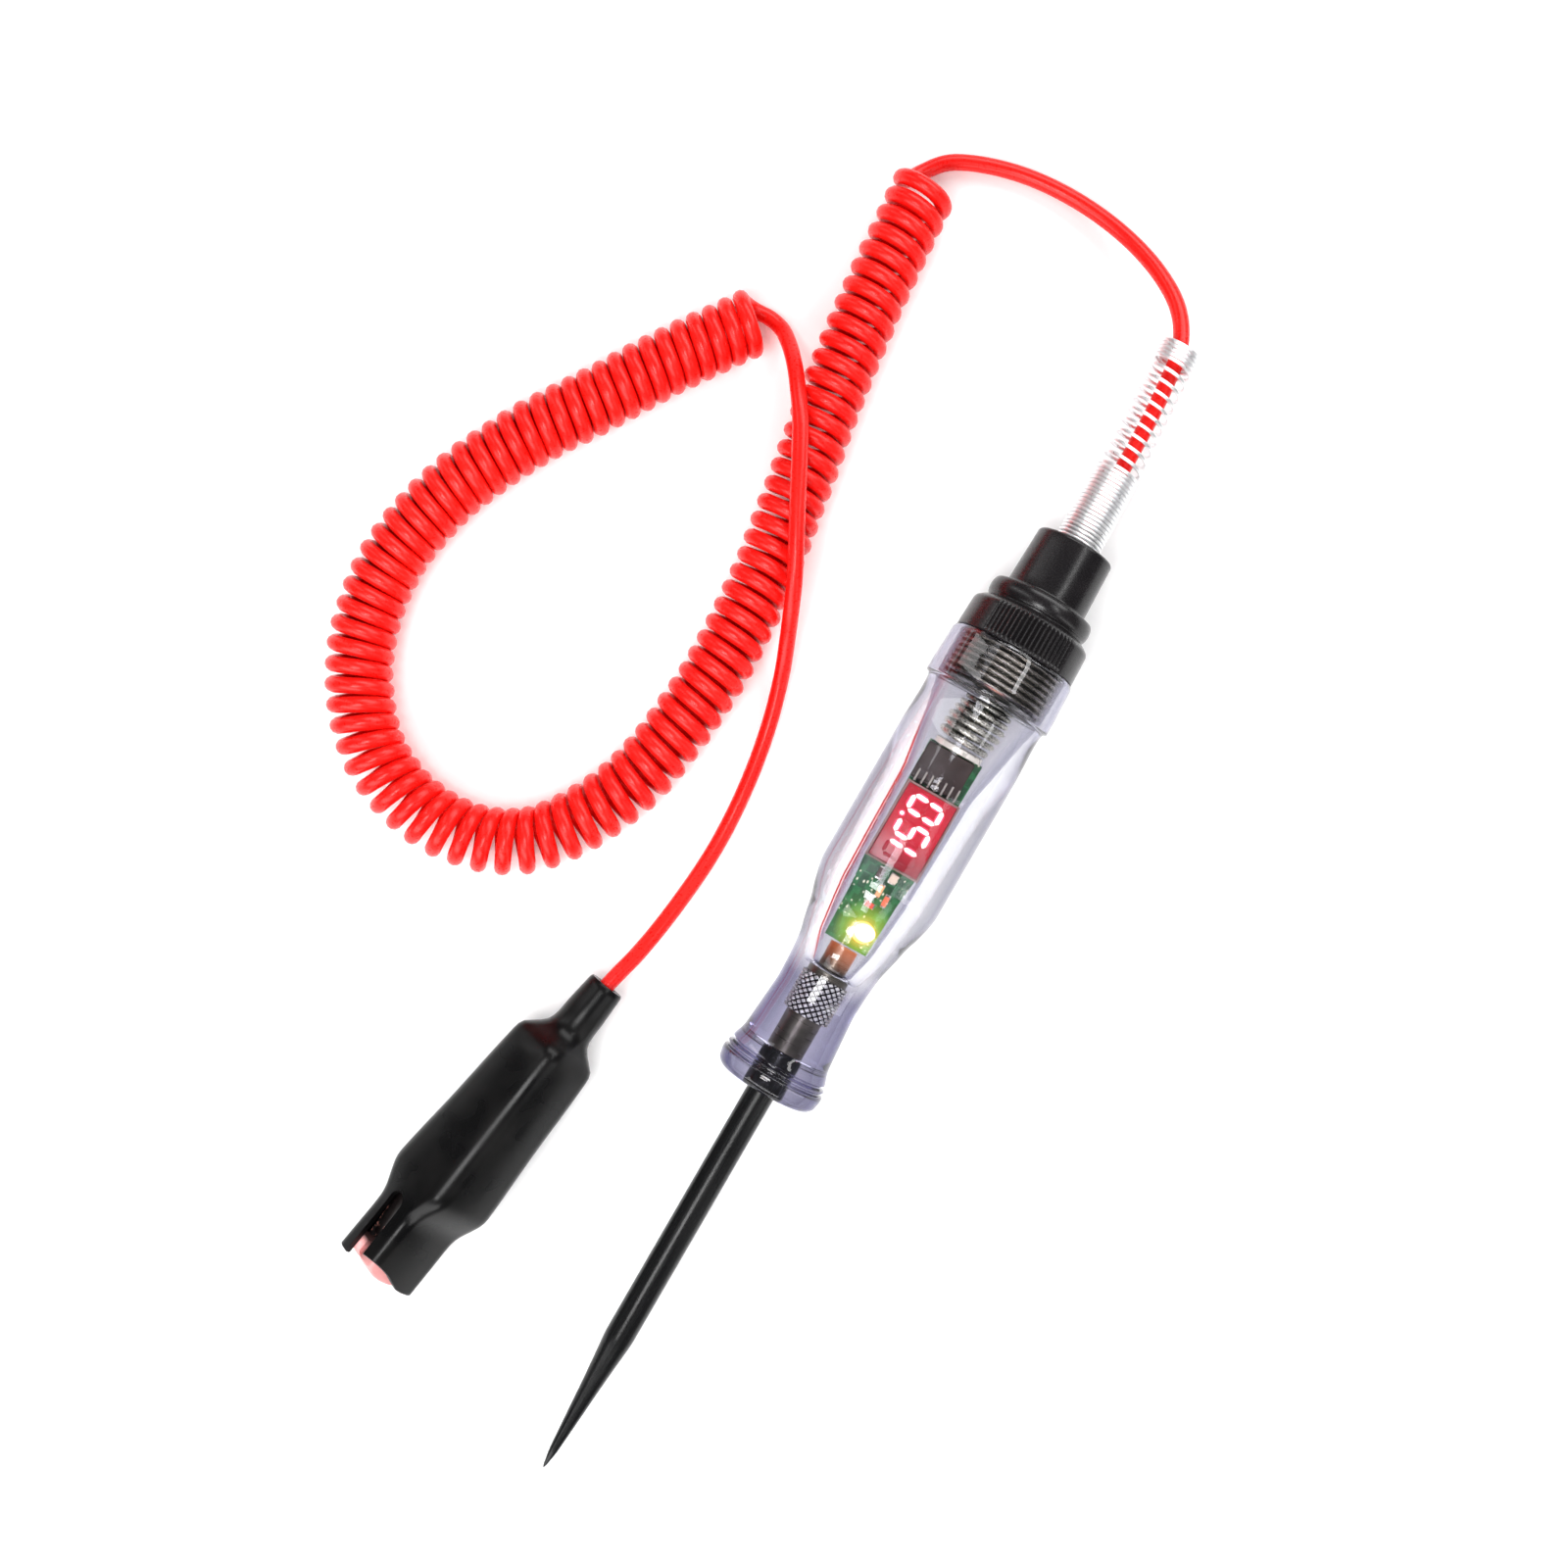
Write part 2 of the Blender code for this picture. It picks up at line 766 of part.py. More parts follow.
def channel(name, side, width, frame):
    """The hollow of a jaw, as a cutter."""
    return outline(name, side, -width / 2, width / 2, frame, None)


def clip_jaws():
    """The fixed lower jaw and the moving upper jaw. SIDE's Y axis is the clip's Z."""
    ear = PIVOT_X
    lower_side = [(-1.2, -1.6)] + teeth(0.4, 19.6, 12, -0.2, -1.1)
    lower_side += [(22.0, -1.1), (ear - 4.0, 2.2), (ear + 4.0, 2.2), (ear + 7.0, -2.4)]
    lower_side += [(58.0, -5.0), (62.0, -3.0), (66.0, -3.0), (66.0, -3.9), (62.0, -3.9)]
    lower_side += [(58.0, -6.4), (ear + 4.0, -5.4), (20.0, -5.0), (0.5, -4.0), (-1.2, -3.2)]
    lower_plan = [(-1.4, -2.6), (2.0, -4.6), (22.0, -5.7), (38.0, -5.7), (56.0, -4.6), (66.2, -3.4)]
    lower_plan += [(x, -y) for x, y in reversed(lower_plan)]
    lower_hollow = channel(
        "lower_channel",
        [(0.3, 4.0), (0.3, -3.2), (20.0, -4.2), (ear + 4.0, -4.6), (58.0, -5.6), (59.5, 4.0)],
        9.8,
        SIDE,
    )
    jaw("clip_lower_jaw", lower_side, 14.0, lower_hollow, SIDE, lower_plan)

    upper_side = [(-1.2, 1.6)] + teeth(-0.4, 18.8, 12, 0.2, 1.1)
    upper_side += [(22.0, 1.1), (ear - 3.5, -2.2), (ear + 3.5, -2.2), (ear + 6.5, 2.6)]
    upper_side += [(57.0, 5.6), (57.0, 6.6), (ear + 4.0, 5.4), (20.0, 5.0), (0.5, 4.0), (-1.2, 3.2)]
    upper_plan = [(-1.4, -2.6), (2.0, -4.6), (9.0, -4.6), (57.2, -4.4)]
    upper_plan += [(x, -y) for x, y in reversed(upper_plan)]
    upper_hollow = channel(
        "upper_channel",
        [(0.3, -4.0), (0.3, 3.2), (20.0, 4.2), (ear + 4.0, 4.6), (58.0, 5.8), (58.0, -4.0)],
        7.4,
        SIDE,
    )
    upper = jaw("clip_upper_jaw", upper_side, 14.0, upper_hollow, SIDE, upper_plan)
    bpy.context.view_layer.update()
    place_at = upper.matrix_world.copy()
    upper.parent = PIN
    upper.matrix_world = place_at


def clip_pin():
    """Pivot pin through both jaws' ears, with a rivet head at each end."""
    profile = [(7.2, 0.0), (7.2, 1.7), (6.2, 2.1), (6.1, 2.1), (6.1, 1.2)]
    profile += [(-s, r) for s, r in reversed(profile)]
    pin = turned("clip_pivot_pin", profile, None, "bare_steel", sides=12)
    pin.parent = PIN
    return pin


def clip_torsion_spring():
    """Coil on the pin whose two legs push the levers apart."""
    coil_r = 2.1
    points = helix(lambda share: coil_r, -2.4, 2.4, 4.0, 10, lambda station: (0.0, 0.0))
    leg = 15.0
    first = Vector((leg, -3.6, -2.4)) * MM
    last = Vector((leg, 3.6, 2.4)) * MM
    made = wire("clip_torsion_spring", [first] + points + [last], 0.4, PIN, None, resolution=0)
    made = as_mesh(made)
    made.data.materials.append(material("spring_steel"))
    return made


def clip_crimp():
    """Ferrule that holds the wire on the fixed jaw's tail."""
    profile = [(66.2, 0.0), (66.2, 2.6), (59.9, 2.6), (59.9, 0.0)]
    ferrule = turned("clip_crimp", profile, None, "brass", sides=12)
    ferrule.parent = ALONG
    return ferrule


def rounded_section(x, tall, wide, corner, steps=4):
    """Points round a rounded rectangle across the clip at x; tall is along Z and wide along Y."""
    points = []
    for k, (sy, sz) in enumerate(((1, 1), (-1, 1), (-1, -1), (1, -1))):
        centre_y, centre_z = sy * (wide / 2 - corner), sz * (tall / 2 - corner)
        for i in range(steps + 1):
            angle = math.radians(90.0 * (k + i / steps))
            points.append(
                Vector((x, centre_y + corner * math.cos(angle), centre_z + corner * math.sin(angle)))
                * MM
            )
    return points


BOOT_SECTIONS = [  # distance from the mouth, height, width, corner radius
    (0.0, 13.0, 18.2, 1.8),
    (14.6, 13.0, 18.4, 1.8),
    (17.0, 13.9, 18.8, 2.0),
    (23.0, 20.4, 20.0, 2.5),
    (25.0, 20.9, 20.2, 2.5),
    (61.0, 16.2, 17.6, 2.5),
    (65.0, 13.6, 15.2, 3.4),
    (68.9, 10.6, 10.6, 5.2),
    (BOOT_END, 8.6, 8.6, 4.2),
]


def clip_boot():
    """Soft boot over the whole clip: thin walls, a neck for the cord, slit sides at the mouth."""
    outer = [rounded_section(*section) for section in BOOT_SECTIONS]
    inner = []
    for x, tall, wide, corner in BOOT_SECTIONS[:-2]:
        wall = 2 * BOOT_WALL
        inner.append(rounded_section(x, tall - wall, wide - wall, max(0.6, corner - BOOT_WALL)))
    bore = CORD_D + 2 * GAP
    for x in (69.6, BOOT_END):
        inner.append(rounded_section(x, bore, bore, bore / 2 - 0.01))
    shape = bmesh.new()
    rings = [[shape.verts.new(p) for p in ring] for ring in outer + inner[::-1]]
    count = len(rings[0])
    for a, b in zip(rings, rings[1:] + rings[:1]):
        for k in range(count):
            n = (k + 1) % count
            shape.faces.new((a[k], b[k], b[n], a[n]))
    bmesh.ops.recalc_face_normals(shape, faces=shape.faces)
    mesh = bpy.data.meshes.new("clip_boot")
    shape.to_mesh(mesh)
    shape.free()
    smooth(mesh, 50.0)
    boot = new_object("clip_boot", mesh, CLIP, "boot_black")
    half = SLIT_WIDTH / 2
    slot = [(-3.0, -half), (-3.0, half)]
    for i in range(5):
        angle = math.radians(90.0 - 45.0 * i)
        slot.append((SLIT_LENGTH - half + half * math.cos(angle), half * math.sin(angle)))
    combine(boot, outline("boot_slit", slot, -15.0, 15.0, SIDE, None), "DIFFERENCE")
    return boot


# ---------------------------------------------------------------- the whole part

clear_scene()
PART = new_collection("circuit_test_light")
TOOLS = new_collection("cutters")

# PEN: Z along the tester. FLAT: X across, Y along the tester, Z up. Both start at the needle's tip.
tip = Vector((0.0, -TESTER_MIDDLE, AXIS_HEIGHT)) * MM
PEN = frame_empty("tester_axis", Matrix.Translation(tip) @ Matrix.Rotation(-math.pi / 2, 4, "X"))
FLAT = frame_empty("board_frame", Matrix.Translation(tip))
# CLIP: the clip's own frame. SIDE: its X and Z as X and Y. PIN: Z along the pivot pin, at the pivot.
# ALONG: Z along the clip.
CLIP_MATRIX = clip_matrix()
CLIP = frame_empty("clip_frame", CLIP_MATRIX)
SIDE = frame_empty("clip_side", CLIP_MATRIX @ Matrix.Rotation(math.pi / 2, 4, "X"))
pivot = Matrix.Translation(Vector((PIVOT_X, 0.0, 0.0)) * MM)
PIN = frame_empty("clip_pivot", CLIP_MATRIX @ pivot @ Matrix.Rotation(-math.pi / 2, 4, "X"))
ALONG = frame_empty("clip_along", CLIP_MATRIX @ Matrix.Rotation(math.pi / 2, 4, "Y"))

probe_rod()
contact_bush()
handle_shell()
circuit_board()
display()
board_parts()
indicator_led()
spring_seat()
contact_spring()
screw_cap()
thread_plug()
strain_relief_spring()
cord_terminal()
cord()
clip_jaws()
clip_pin()
clip_torsion_spring()
clip_crimp()
clip_boot()
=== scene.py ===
"""Looks of the circuit test light: clear handle with a lit read-out, curly red lead, booted clip."""

import json
import math

import bmesh
import bpy
from mathutils import Matrix, Vector


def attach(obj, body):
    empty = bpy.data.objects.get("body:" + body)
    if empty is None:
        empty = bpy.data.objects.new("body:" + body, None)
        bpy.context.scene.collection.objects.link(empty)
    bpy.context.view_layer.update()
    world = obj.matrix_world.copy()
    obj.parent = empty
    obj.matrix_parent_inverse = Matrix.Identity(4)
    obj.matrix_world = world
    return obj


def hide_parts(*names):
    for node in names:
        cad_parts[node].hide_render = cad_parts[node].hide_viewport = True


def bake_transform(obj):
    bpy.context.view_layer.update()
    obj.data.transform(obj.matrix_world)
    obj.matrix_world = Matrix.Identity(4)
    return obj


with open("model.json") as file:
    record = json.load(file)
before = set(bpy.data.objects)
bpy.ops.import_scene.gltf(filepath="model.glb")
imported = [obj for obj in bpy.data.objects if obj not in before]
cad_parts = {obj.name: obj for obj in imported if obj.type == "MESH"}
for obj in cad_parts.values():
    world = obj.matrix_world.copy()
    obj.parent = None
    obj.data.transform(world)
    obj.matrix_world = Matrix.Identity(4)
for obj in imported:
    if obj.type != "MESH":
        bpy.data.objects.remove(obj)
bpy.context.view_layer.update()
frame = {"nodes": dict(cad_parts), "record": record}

# Lengths are in millimetres unless a comment says otherwise.
MM = 0.001
TIP_Y = -146.2  # the needle's tip, in millimetres of the row's frame
AXIS_Z = 15.6
NECK_END = 241.2  # the end of the cap's neck, from the needle's tip
CORD_R = 1.9
PITCH = 1.5  # of the cap's thread


def on_axis(station, across=0.0, height=0.0):
    """A point by its distance from the needle's tip and its offsets from the tester's axis."""
    return Vector((across, station + TIP_Y, AXIS_Z + height)) * MM


# ---- camera, floor and light


def camera():
    """Looks straight down, turned so that the tester lies aslant in the picture."""
    data = bpy.data.cameras.new("camera")
    data.lens = 40.9
    data.sensor_width = 36.0
    data.clip_start = 0.01
    made = bpy.data.objects.new("camera", data)
    bpy.context.collection.objects.link(made)
    made.location = (-0.0304, 0.0154, 0.4196)
    made.rotation_euler = (0.0, 0.0, math.radians(30.07))
    bpy.context.scene.camera = made


def area_light(name, place, target, size, power):
    data = bpy.data.lights.new(name, "AREA")
    data.shape = "RECTANGLE"
    data.size, data.size_y = size
    data.energy = power
    made = bpy.data.objects.new(name, data)
    bpy.context.collection.objects.link(made)
    made.location = place
    aim = Vector(target) - Vector(place)
    made.rotation_euler = aim.to_track_quat("-Z", "Y").to_euler()


def studio():
    """A white floor in soft light, with small lights whose reflections lie on the black pieces."""
    scene = bpy.context.scene
    scene.view_settings.view_transform = "Standard"
    world = bpy.data.worlds.new("studio")
    scene.world = world
    world.use_nodes = True
    sky = world.node_tree.nodes["Background"].inputs
    sky["Color"].default_value = (0.95, 0.97, 1.0, 1.0)
    sky["Strength"].default_value = 0.10
    target = (-0.03, 0.02, 0.0)
    area_light("key", (-0.80, 0.20, 0.52), target, (0.12, 0.9), 1.2)
    area_light("fill", (0.82, -0.10, 0.50), target, (0.12, 0.9), 1.2)
    area_light("back", (0.05, 0.85, 0.60), target, (1.3, 0.5), 9.0)
    area_light("front", (-0.10, -0.85, 0.60), target, (1.3, 0.5), 9.0)
    area_light("ridge", (-0.08, -0.065, 0.47), (-0.08, -0.065, 0.0), (0.17, 0.09), 0.8)
    area_light("mouth", (-0.10, -0.205, 0.47), (-0.10, -0.205, 0.0), (0.15, 0.06), 0.55)
    area_light("neck", (0.20, 0.21, 0.47), (0.0, 0.12, 0.0), (0.20, 0.06), 0.3)
    sheet = bpy.data.meshes.new("floor")
    half = 1.6
    corners = [(-half, -half, 0.0), (half, -half, 0.0), (half, half, 0.0), (-half, half, 0.0)]
    sheet.from_pydata(corners, [], [(0, 1, 2, 3)])
    floor = bpy.data.objects.new("floor", sheet)
    bpy.context.collection.objects.link(floor)
    white = (1.0, 1.0, 1.0, 1.0)
    pale = look("floor_white", (0.93, 0.93, 0.93), 0.7, Emission_Color=white, Emission_Strength=0.12)
    sheet.materials.append(pale)


# ---- material helpers


def look(name, colour, roughness, metallic=0.0, **sockets):
    """A Principled material. Extra sockets are named with underscores for spaces."""
    made = bpy.data.materials.new(name)
    made.use_nodes = True
    shader = made.node_tree.nodes["Principled BSDF"]
    shader.inputs["Base Color"].default_value = (*colour, 1.0)
    shader.inputs["Roughness"].default_value = roughness
    shader.inputs["Metallic"].default_value = metallic
    for key, value in sockets.items():
        shader.inputs[key.replace("_", " ")].default_value = value
    made.diffuse_color = (*colour, 1.0)
    return made


def add(material, kind, inputs=(), **settings):
    """A new node. inputs maps a socket's name or number to a value or to another node's output."""
    made = material.node_tree.nodes.new(kind)
    for key, value in settings.items():
        setattr(made, key, value)
    for key, value in dict(inputs).items():
        if isinstance(value, bpy.types.NodeSocket):
            material.node_tree.links.new(value, made.inputs[key])
        else:
            made.inputs[key].default_value = value
    return made


def drive(material, socket, output):
    shader = material.node_tree.nodes["Principled BSDF"]
    material.node_tree.links.new(output, shader.inputs[socket])


def tint(material, value, first, second):
    """Base colour that goes from the first to the second as a value rises."""
    drive(material, "Base Color", blend_colours(material, value, first, second))


def glow(material, colour, strength):
    """Emission with a colour that varies over the surface and one strength."""
    drive(material, "Emission Color", colour)
    shader = material.node_tree.nodes["Principled BSDF"]
    shader.inputs["Emission Strength"].default_value = strength


def roughen(material, value, low, high):
    """Roughness that runs from low to high as a noise value rises."""
    drive(material, "Roughness", spread(material, value, 0.3, 0.7, low, high))


def bump(material, height, distance, strength, after=None):
    """Fine relief over the whole material."""
    drive(material, "Normal", emboss(material, height, distance, strength, after))


def place_of(material):
    """Position in the row's frame, in metres."""
    return add(material, "ShaderNodeTexCoord").outputs["Object"]


def grain(material, scale, detail=3.0, stretch=None):
    """Noise whose features are about 1/scale metres across, pulled out along an axis by stretch."""
    vector = place_of(material)
    if stretch:
        vector = vector_node(material, "MULTIPLY", vector, stretch)
    settings = {"Vector": vector, "Scale": scale, "Detail": detail}
    return add(material, "ShaderNodeTexNoise", settings).outputs["Fac"]


def math_node(material, operation, a, b):
    return add(material, "ShaderNodeMath", {0: a, 1: b}, operation=operation).outputs[0]


def vector_node(material, operation, a, b=(0.0, 0.0, 0.0), output=0):
    made = add(material, "ShaderNodeVectorMath", {0: a, 1: b}, operation=operation)
    return made.outputs[output]


def spread(material, value, low, high, to_low=0.0, to_high=1.0):
    """Maps a value from one range to another, held at its ends."""
    ends = {0: value, 1: low, 2: high, 3: to_low, 4: to_high}
    return add(material, "ShaderNodeMapRange", ends).outputs[0]


def ramp_colour(material, value, stops):
    """Colour by a value from 0 to 1, through stops given as (value, colour)."""
    made = add(material, "ShaderNodeValToRGB", {0: value})
    steps = made.color_ramp.elements
    for at, colour in stops[1:-1]:
        steps.new(at).color = (*colour, 1.0)
    steps[0].color = (*stops[0][1], 1.0)
    steps[len(steps) - 1].color = (*stops[-1][1], 1.0)
    return made.outputs[0]


def blend_colours(material, factor, first, second):
    made = add(material, "ShaderNodeMix", {0: factor}, data_type="RGBA")
    for socket, colour in ((made.inputs[6], first), (made.inputs[7], second)):
        if isinstance(colour, bpy.types.NodeSocket):
            material.node_tree.links.new(colour, socket)
        else:
            socket.default_value = (*colour, 1.0)
    return made.outputs[2]


def emboss(material, height, distance, strength, after=None):
    """A bump whose height, given as 0 to 1, stands for a distance in millimetres."""
    inputs = {"Height": height, "Distance": distance * MM, "Strength": strength}
    if after:
        inputs["Normal"] = after
    return add(material, "ShaderNodeBump", inputs).outputs[0]


def coordinates(material):
    """Across, station and height outputs in metres from the tester's tip and axis."""
    moved = vector_node(material, "ADD", place_of(material), (0.0, -TIP_Y * MM, -AXIS_Z * MM))
    return add(material, "ShaderNodeSeparateXYZ", {0: moved}).outputs


def flat_place(material):
    """Position in the board's plane."""
    across, station = coordinates(material)[:2]
    return add(material, "ShaderNodeCombineXYZ", {0: across, 1: station}).outputs[0]


def off_axis(material, lean=0.0, lean_from=0.0):
    """Distance from the tester's axis, or from a line that leans across from a station on it."""
    across, station, height = coordinates(material)
    if lean:
        past = math_node(material, "SUBTRACT", station, lean_from)
        across = math_node(material, "SUBTRACT", across, math_node(material, "MULTIPLY", past, lean))
    flat = add(material, "ShaderNodeCombineXYZ", {0: across, 2: height}).outputs[0]
    return vector_node(material, "LENGTH", flat, output="Value")


def distance_from(material, point):
    return vector_node(material, "DISTANCE", place_of(material), tuple(point), "Value")


# ---- shape helpers


def finish_mesh(name, shape, material, body, nodes=(), angle=35.0):
    """Turns a bmesh into a piece that rides on a body, with its normals facing out."""
    bmesh.ops.recalc_face_normals(shape, faces=shape.faces)
    mesh = bpy.data.meshes.new(name)
    shape.to_mesh(mesh)
    shape.free()
    mesh.shade_smooth()
    mesh.set_sharp_from_angle(angle=math.radians(angle))
    made = bpy.data.objects.new(name, mesh)
    bpy.context.collection.objects.link(made)
    return dress(made, material, body, nodes)


def dress(made, material, body, nodes=()):
    if material:
        made.data.materials.append(material)
    if body:
        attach(made, body)
    if nodes:
        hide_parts(*nodes)
    return made


def soften(profile, trim, steps=4):
    """Rounds the corners of a profile: each corner becomes a short curve that starts trim before it."""
    points = [Vector((*p, 0.0)) for p in profile]
    result = [points[0]]
    for before, corner, after in zip(points, points[1:], points[2:]):
        reach = min(trim, (corner - before).length / 2.2, (after - corner).length / 2.2)
        start = corner + (before - corner).normalized() * reach
        end = corner + (after - corner).normalized() * reach
        for i in range(steps + 1):
            t = i / steps
            result.append(start * (1 - t) ** 2 + corner * (2 * t * (1 - t)) + end * t**2)
    result.append(points[-1])
    return [(p.x, p.y) for p in result]


def divide(profile, longest):
    """Adds points so that no step of a profile is longer than this."""
    result = [profile[0]]
    for (s0, r0), (s1, r1) in zip(profile, profile[1:]):
        count = max(1, math.ceil(math.hypot(s1 - s0, r1 - r0) / longest))
        for i in range(1, count + 1):
            t = i / count
            result.append((s0 + (s1 - s0) * t, r0 + (r1 - r0) * t))
    return result


def lathe(profile, sides, radius_at=None, closed=False):
    """A turned surface about the tester's axis from (station, radius) pairs, as a bmesh. A radius of 0
    closes an end. radius_at(station, turn, radius) can shape it."""
    shape = bmesh.new()
    rings = []
    for station, radius in profile:
        if radius < 1e-6:
            rings.append([shape.verts.new(on_axis(station))])
            continue
        ring = []
        for k in range(sides):
            turn = k / sides
            r = radius_at(station, turn, radius) if radius_at else radius
            angle = math.tau * turn
            ring.append(shape.verts.new(on_axis(station, r * math.cos(angle), r * math.sin(angle))))
        rings.append(ring)
    following = rings[1:] + rings[:1] if closed else rings[1:]
    for low, high in zip(rings, following):
        join(shape, low, high)
    return shape


def join(shape, low, high):
    """Faces between two rings, either of which may be a single point."""
    sides = max(len(low), len(high))
    for k in range(sides):
        n = (k + 1) % sides
        if len(low) == 1:
            shape.faces.new((low[0], high[n], high[k]))
        elif len(high) == 1:
            shape.faces.new((low[k], low[n], high[0]))
        else:
            shape.faces.new((low[k], low[n], high[n], high[k]))


def curve_piece(name, points, radius, material, body, nodes=(), resolution=3):
    """A round wire through points in metres, with closed ends."""
    curve = bpy.data.curves.new(name, "CURVE")
    curve.dimensions = "3D"
    curve.bevel_depth = radius * MM
    curve.bevel_resolution = resolution
    curve.use_fill_caps = True
    spline = curve.splines.new("POLY")
    spline.points.add(len(points) - 1)
    for point, position in zip(spline.points, points):
        point.co = (*position, 1.0)
    spline.use_smooth = True
    made = bpy.data.objects.new(name, curve)
    bpy.context.collection.objects.link(made)
    return dress(made, material, body, nodes)


def to_mesh(made):
    """The same piece as a mesh."""
    bpy.context.view_layer.update()
    graph = bpy.context.evaluated_depsgraph_get()
    mesh = bpy.data.meshes.new_from_object(made.evaluated_get(graph))
    name = made.name
    bpy.data.objects.remove(made)
    again = bpy.data.objects.new(name, mesh)
    bpy.context.collection.objects.link(again)
    return again


def through(points, step, subdivide=24):
    """Points along a smooth curve through a list of points, step millimetres apart."""
    knots = [Vector(p) for p in points]
    knots = [knots[0] * 2 - knots[1]] + knots + [knots[-1] * 2 - knots[-2]]
    fine = []
    for a, b, c, d in zip(knots, knots[1:], knots[2:], knots[3:]):
        t0, t1 = 0.0, (b - a).length ** 0.5
        t2 = t1 + (c - b).length ** 0.5
        t3 = t2 + (d - c).length ** 0.5
        for i in range(subdivide):
            t = t1 + (t2 - t1) * i / subdivide
            ab = a * ((t1 - t) / (t1 - t0)) + b * ((t - t0) / (t1 - t0))
            bc = b * ((t2 - t) / (t2 - t1)) + c * ((t - t1) / (t2 - t1))
            cd = c * ((t3 - t) / (t3 - t2)) + d * ((t - t2) / (t3 - t2))
            abc = ab * ((t2 - t) / (t2 - t0)) + bc * ((t - t0) / (t2 - t0))
            bcd = bc * ((t3 - t) / (t3 - t1)) + cd * ((t - t1) / (t3 - t1))
            fine.append(abc * ((t2 - t) / (t2 - t1)) + bcd * ((t - t1) / (t2 - t1)))
    fine.append(knots[-2])
    return evenly(fine, step)


def evenly(fine, step):
    along = [0.0]
    for a, b in zip(fine, fine[1:]):
        along.append(along[-1] + (b - a).length)
    count = max(2, round(along[-1] / step))
    result = []
    k = 0
    for i in range(count + 1):
        want = along[-1] * i / count
        while k < len(along) - 2 and along[k + 1] < want:
            k += 1
        share = (want - along[k]) / max(1e-9, along[k + 1] - along[k])
        result.append(fine[k].lerp(fine[k + 1], share))
    return result


# ---- the clip's frame


def clip_matrix():
    """X runs from the boot's mouth to its neck, Y along the pivot pin, Z the way the jaw opens."""
    heading, slope, roll = math.radians(9.12), math.radians(4.15), math.radians(41.0)
    flat = Vector((math.sin(heading), math.cos(heading), 0.0))
    along = flat * math.cos(slope) - Vector((0.0, 0.0, math.sin(slope)))
    level = Vector((math.cos(heading), -math.sin(heading), 0.0))
    up = level.cross(along)
    opening = level * math.cos(roll) + up * math.sin(roll)
    pin = opening.cross(along)
    rotation = Matrix((along, pin, opening)).transposed().to_4x4()
    return Matrix.Translation(Vector((-55.5, -126.8, 15.5)) * MM) @ rotation


CLIP = clip_matrix()
PIVOT_X = 30.5
BOOT_END = 82.9


def in_clip(x, y, z):
    return CLIP @ (Vector((x, y, z)) * MM)


# ---- the cord

UPPER_ROUTE = [
    (0.0, 67.6, 15.6), (0.0, 80.0, 15.6), (0.0, 94.0, 15.6), (0.2, 108.0, 15.6),
    (0.2, 122.0, 15.5), (-0.6, 136.0, 15.0), (-2.2, 147.0, 13.4), (-6.4, 154.6, 11.0),
    (-13.5, 160.5, 8.0), (-24.5, 165.4, 4.8), (-38.5, 167.8, 2.9), (-53.0, 167.0, 2.2),
    (-65.0, 163.4, 2.2), (-70.6, 160.2, 2.1), (-74.2, 155.6, 2.2), (-75.4, 153.4, 2.8),
]
COIL_ROUTE = [
    (-71.2, 150.6), (-69.3, 126.5), (-66.2, 101.0), (-62.0, 76.5), (-58.2, 51.0), (-57.4, 24.0),
    (-62.0, -4.5), (-75.5, -25.8), (-94.5, -32.2), (-115.0, -26.4), (-129.0, -10.0),
    (-134.6, 11.0), (-132.0, 32.0), (-123.2, 53.0), (-112.6, 70.0), (-102.0, 87.0),
    (-90.2, 104.0),
]
LOWER_ROUTE = [
    (-88.4, 108.2, 2.4), (-84.4, 107.3, 3.3), (-80.4, 104.2, 6.6), (-76.2, 99.5, 11.4),
    (-72.6, 94.6, 15.2), (-69.0, 89.4, 17.6), (-64.4, 81.2, 18.6), (-59.4, 71.6, 18.6),
    (-54.8, 63.0, 17.8), (-51.2, 56.0, 16.0), (-48.6, 50.0, 12.8), (-46.4, 44.6, 8.6),
    (-43.4, 36.6, 4.4), (-40.0, 24.0, 2.2), (-37.6, 9.0, 2.1), (-36.8, -6.0, 2.4),
    (-37.8, -21.0, 4.4), (-39.8, -34.5, 7.6),
]
CORD_STEP = 1.45
COIL_TURNS = 85.5
COIL_WIRE_R = 6.0
COIL_HEIGHT = 8.0
PER_TURN = 18


def coil_points():
    """The curly part: a helix round the coil's route, its turns a little wider apart in the bend."""
    line = through([(x, y, COIL_HEIGHT) for x, y in COIL_ROUTE], 0.5)
    last = len(line) - 1

    def pitch(share):
        bend = math.exp(-(((share - 0.5) / 0.13) ** 2))
        return 4.4 + 0.5 * bend - 0.55 * share

    steps = [1.0 / pitch(i / last) for i in range(last)]
    scale = COIL_TURNS / sum(steps)
    first_turn = 0.25
    turn = first_turn
    wanted = 0
    points = []
    for i in range(last):
        tangent = (line[i + 1] - line[i]).normalized()
        side = tangent.cross(Vector((0.0, 0.0, 1.0)))
        step = steps[i] * scale
        at_end = i == last - 1
        while wanted <= COIL_TURNS * PER_TURN:
            target = first_turn + wanted / PER_TURN
            if target > turn + step and not at_end:
                break
            share = min(1.0, max(0.0, (target - turn) / step))
            centre = line[i].lerp(line[i + 1], share)
            angle = math.tau * target
            wobble = 1.0 + 0.012 * math.sin(target * 1.7) + 0.008 * math.sin(target * 5.3)
            radius = COIL_WIRE_R * min(1.0, wobble)
            drop = Vector((0.0, 0.0, radius * math.cos(angle)))
            points.append(centre + side * (radius * math.sin(angle)) - drop)
            wanted += 1
        turn += step
    return points


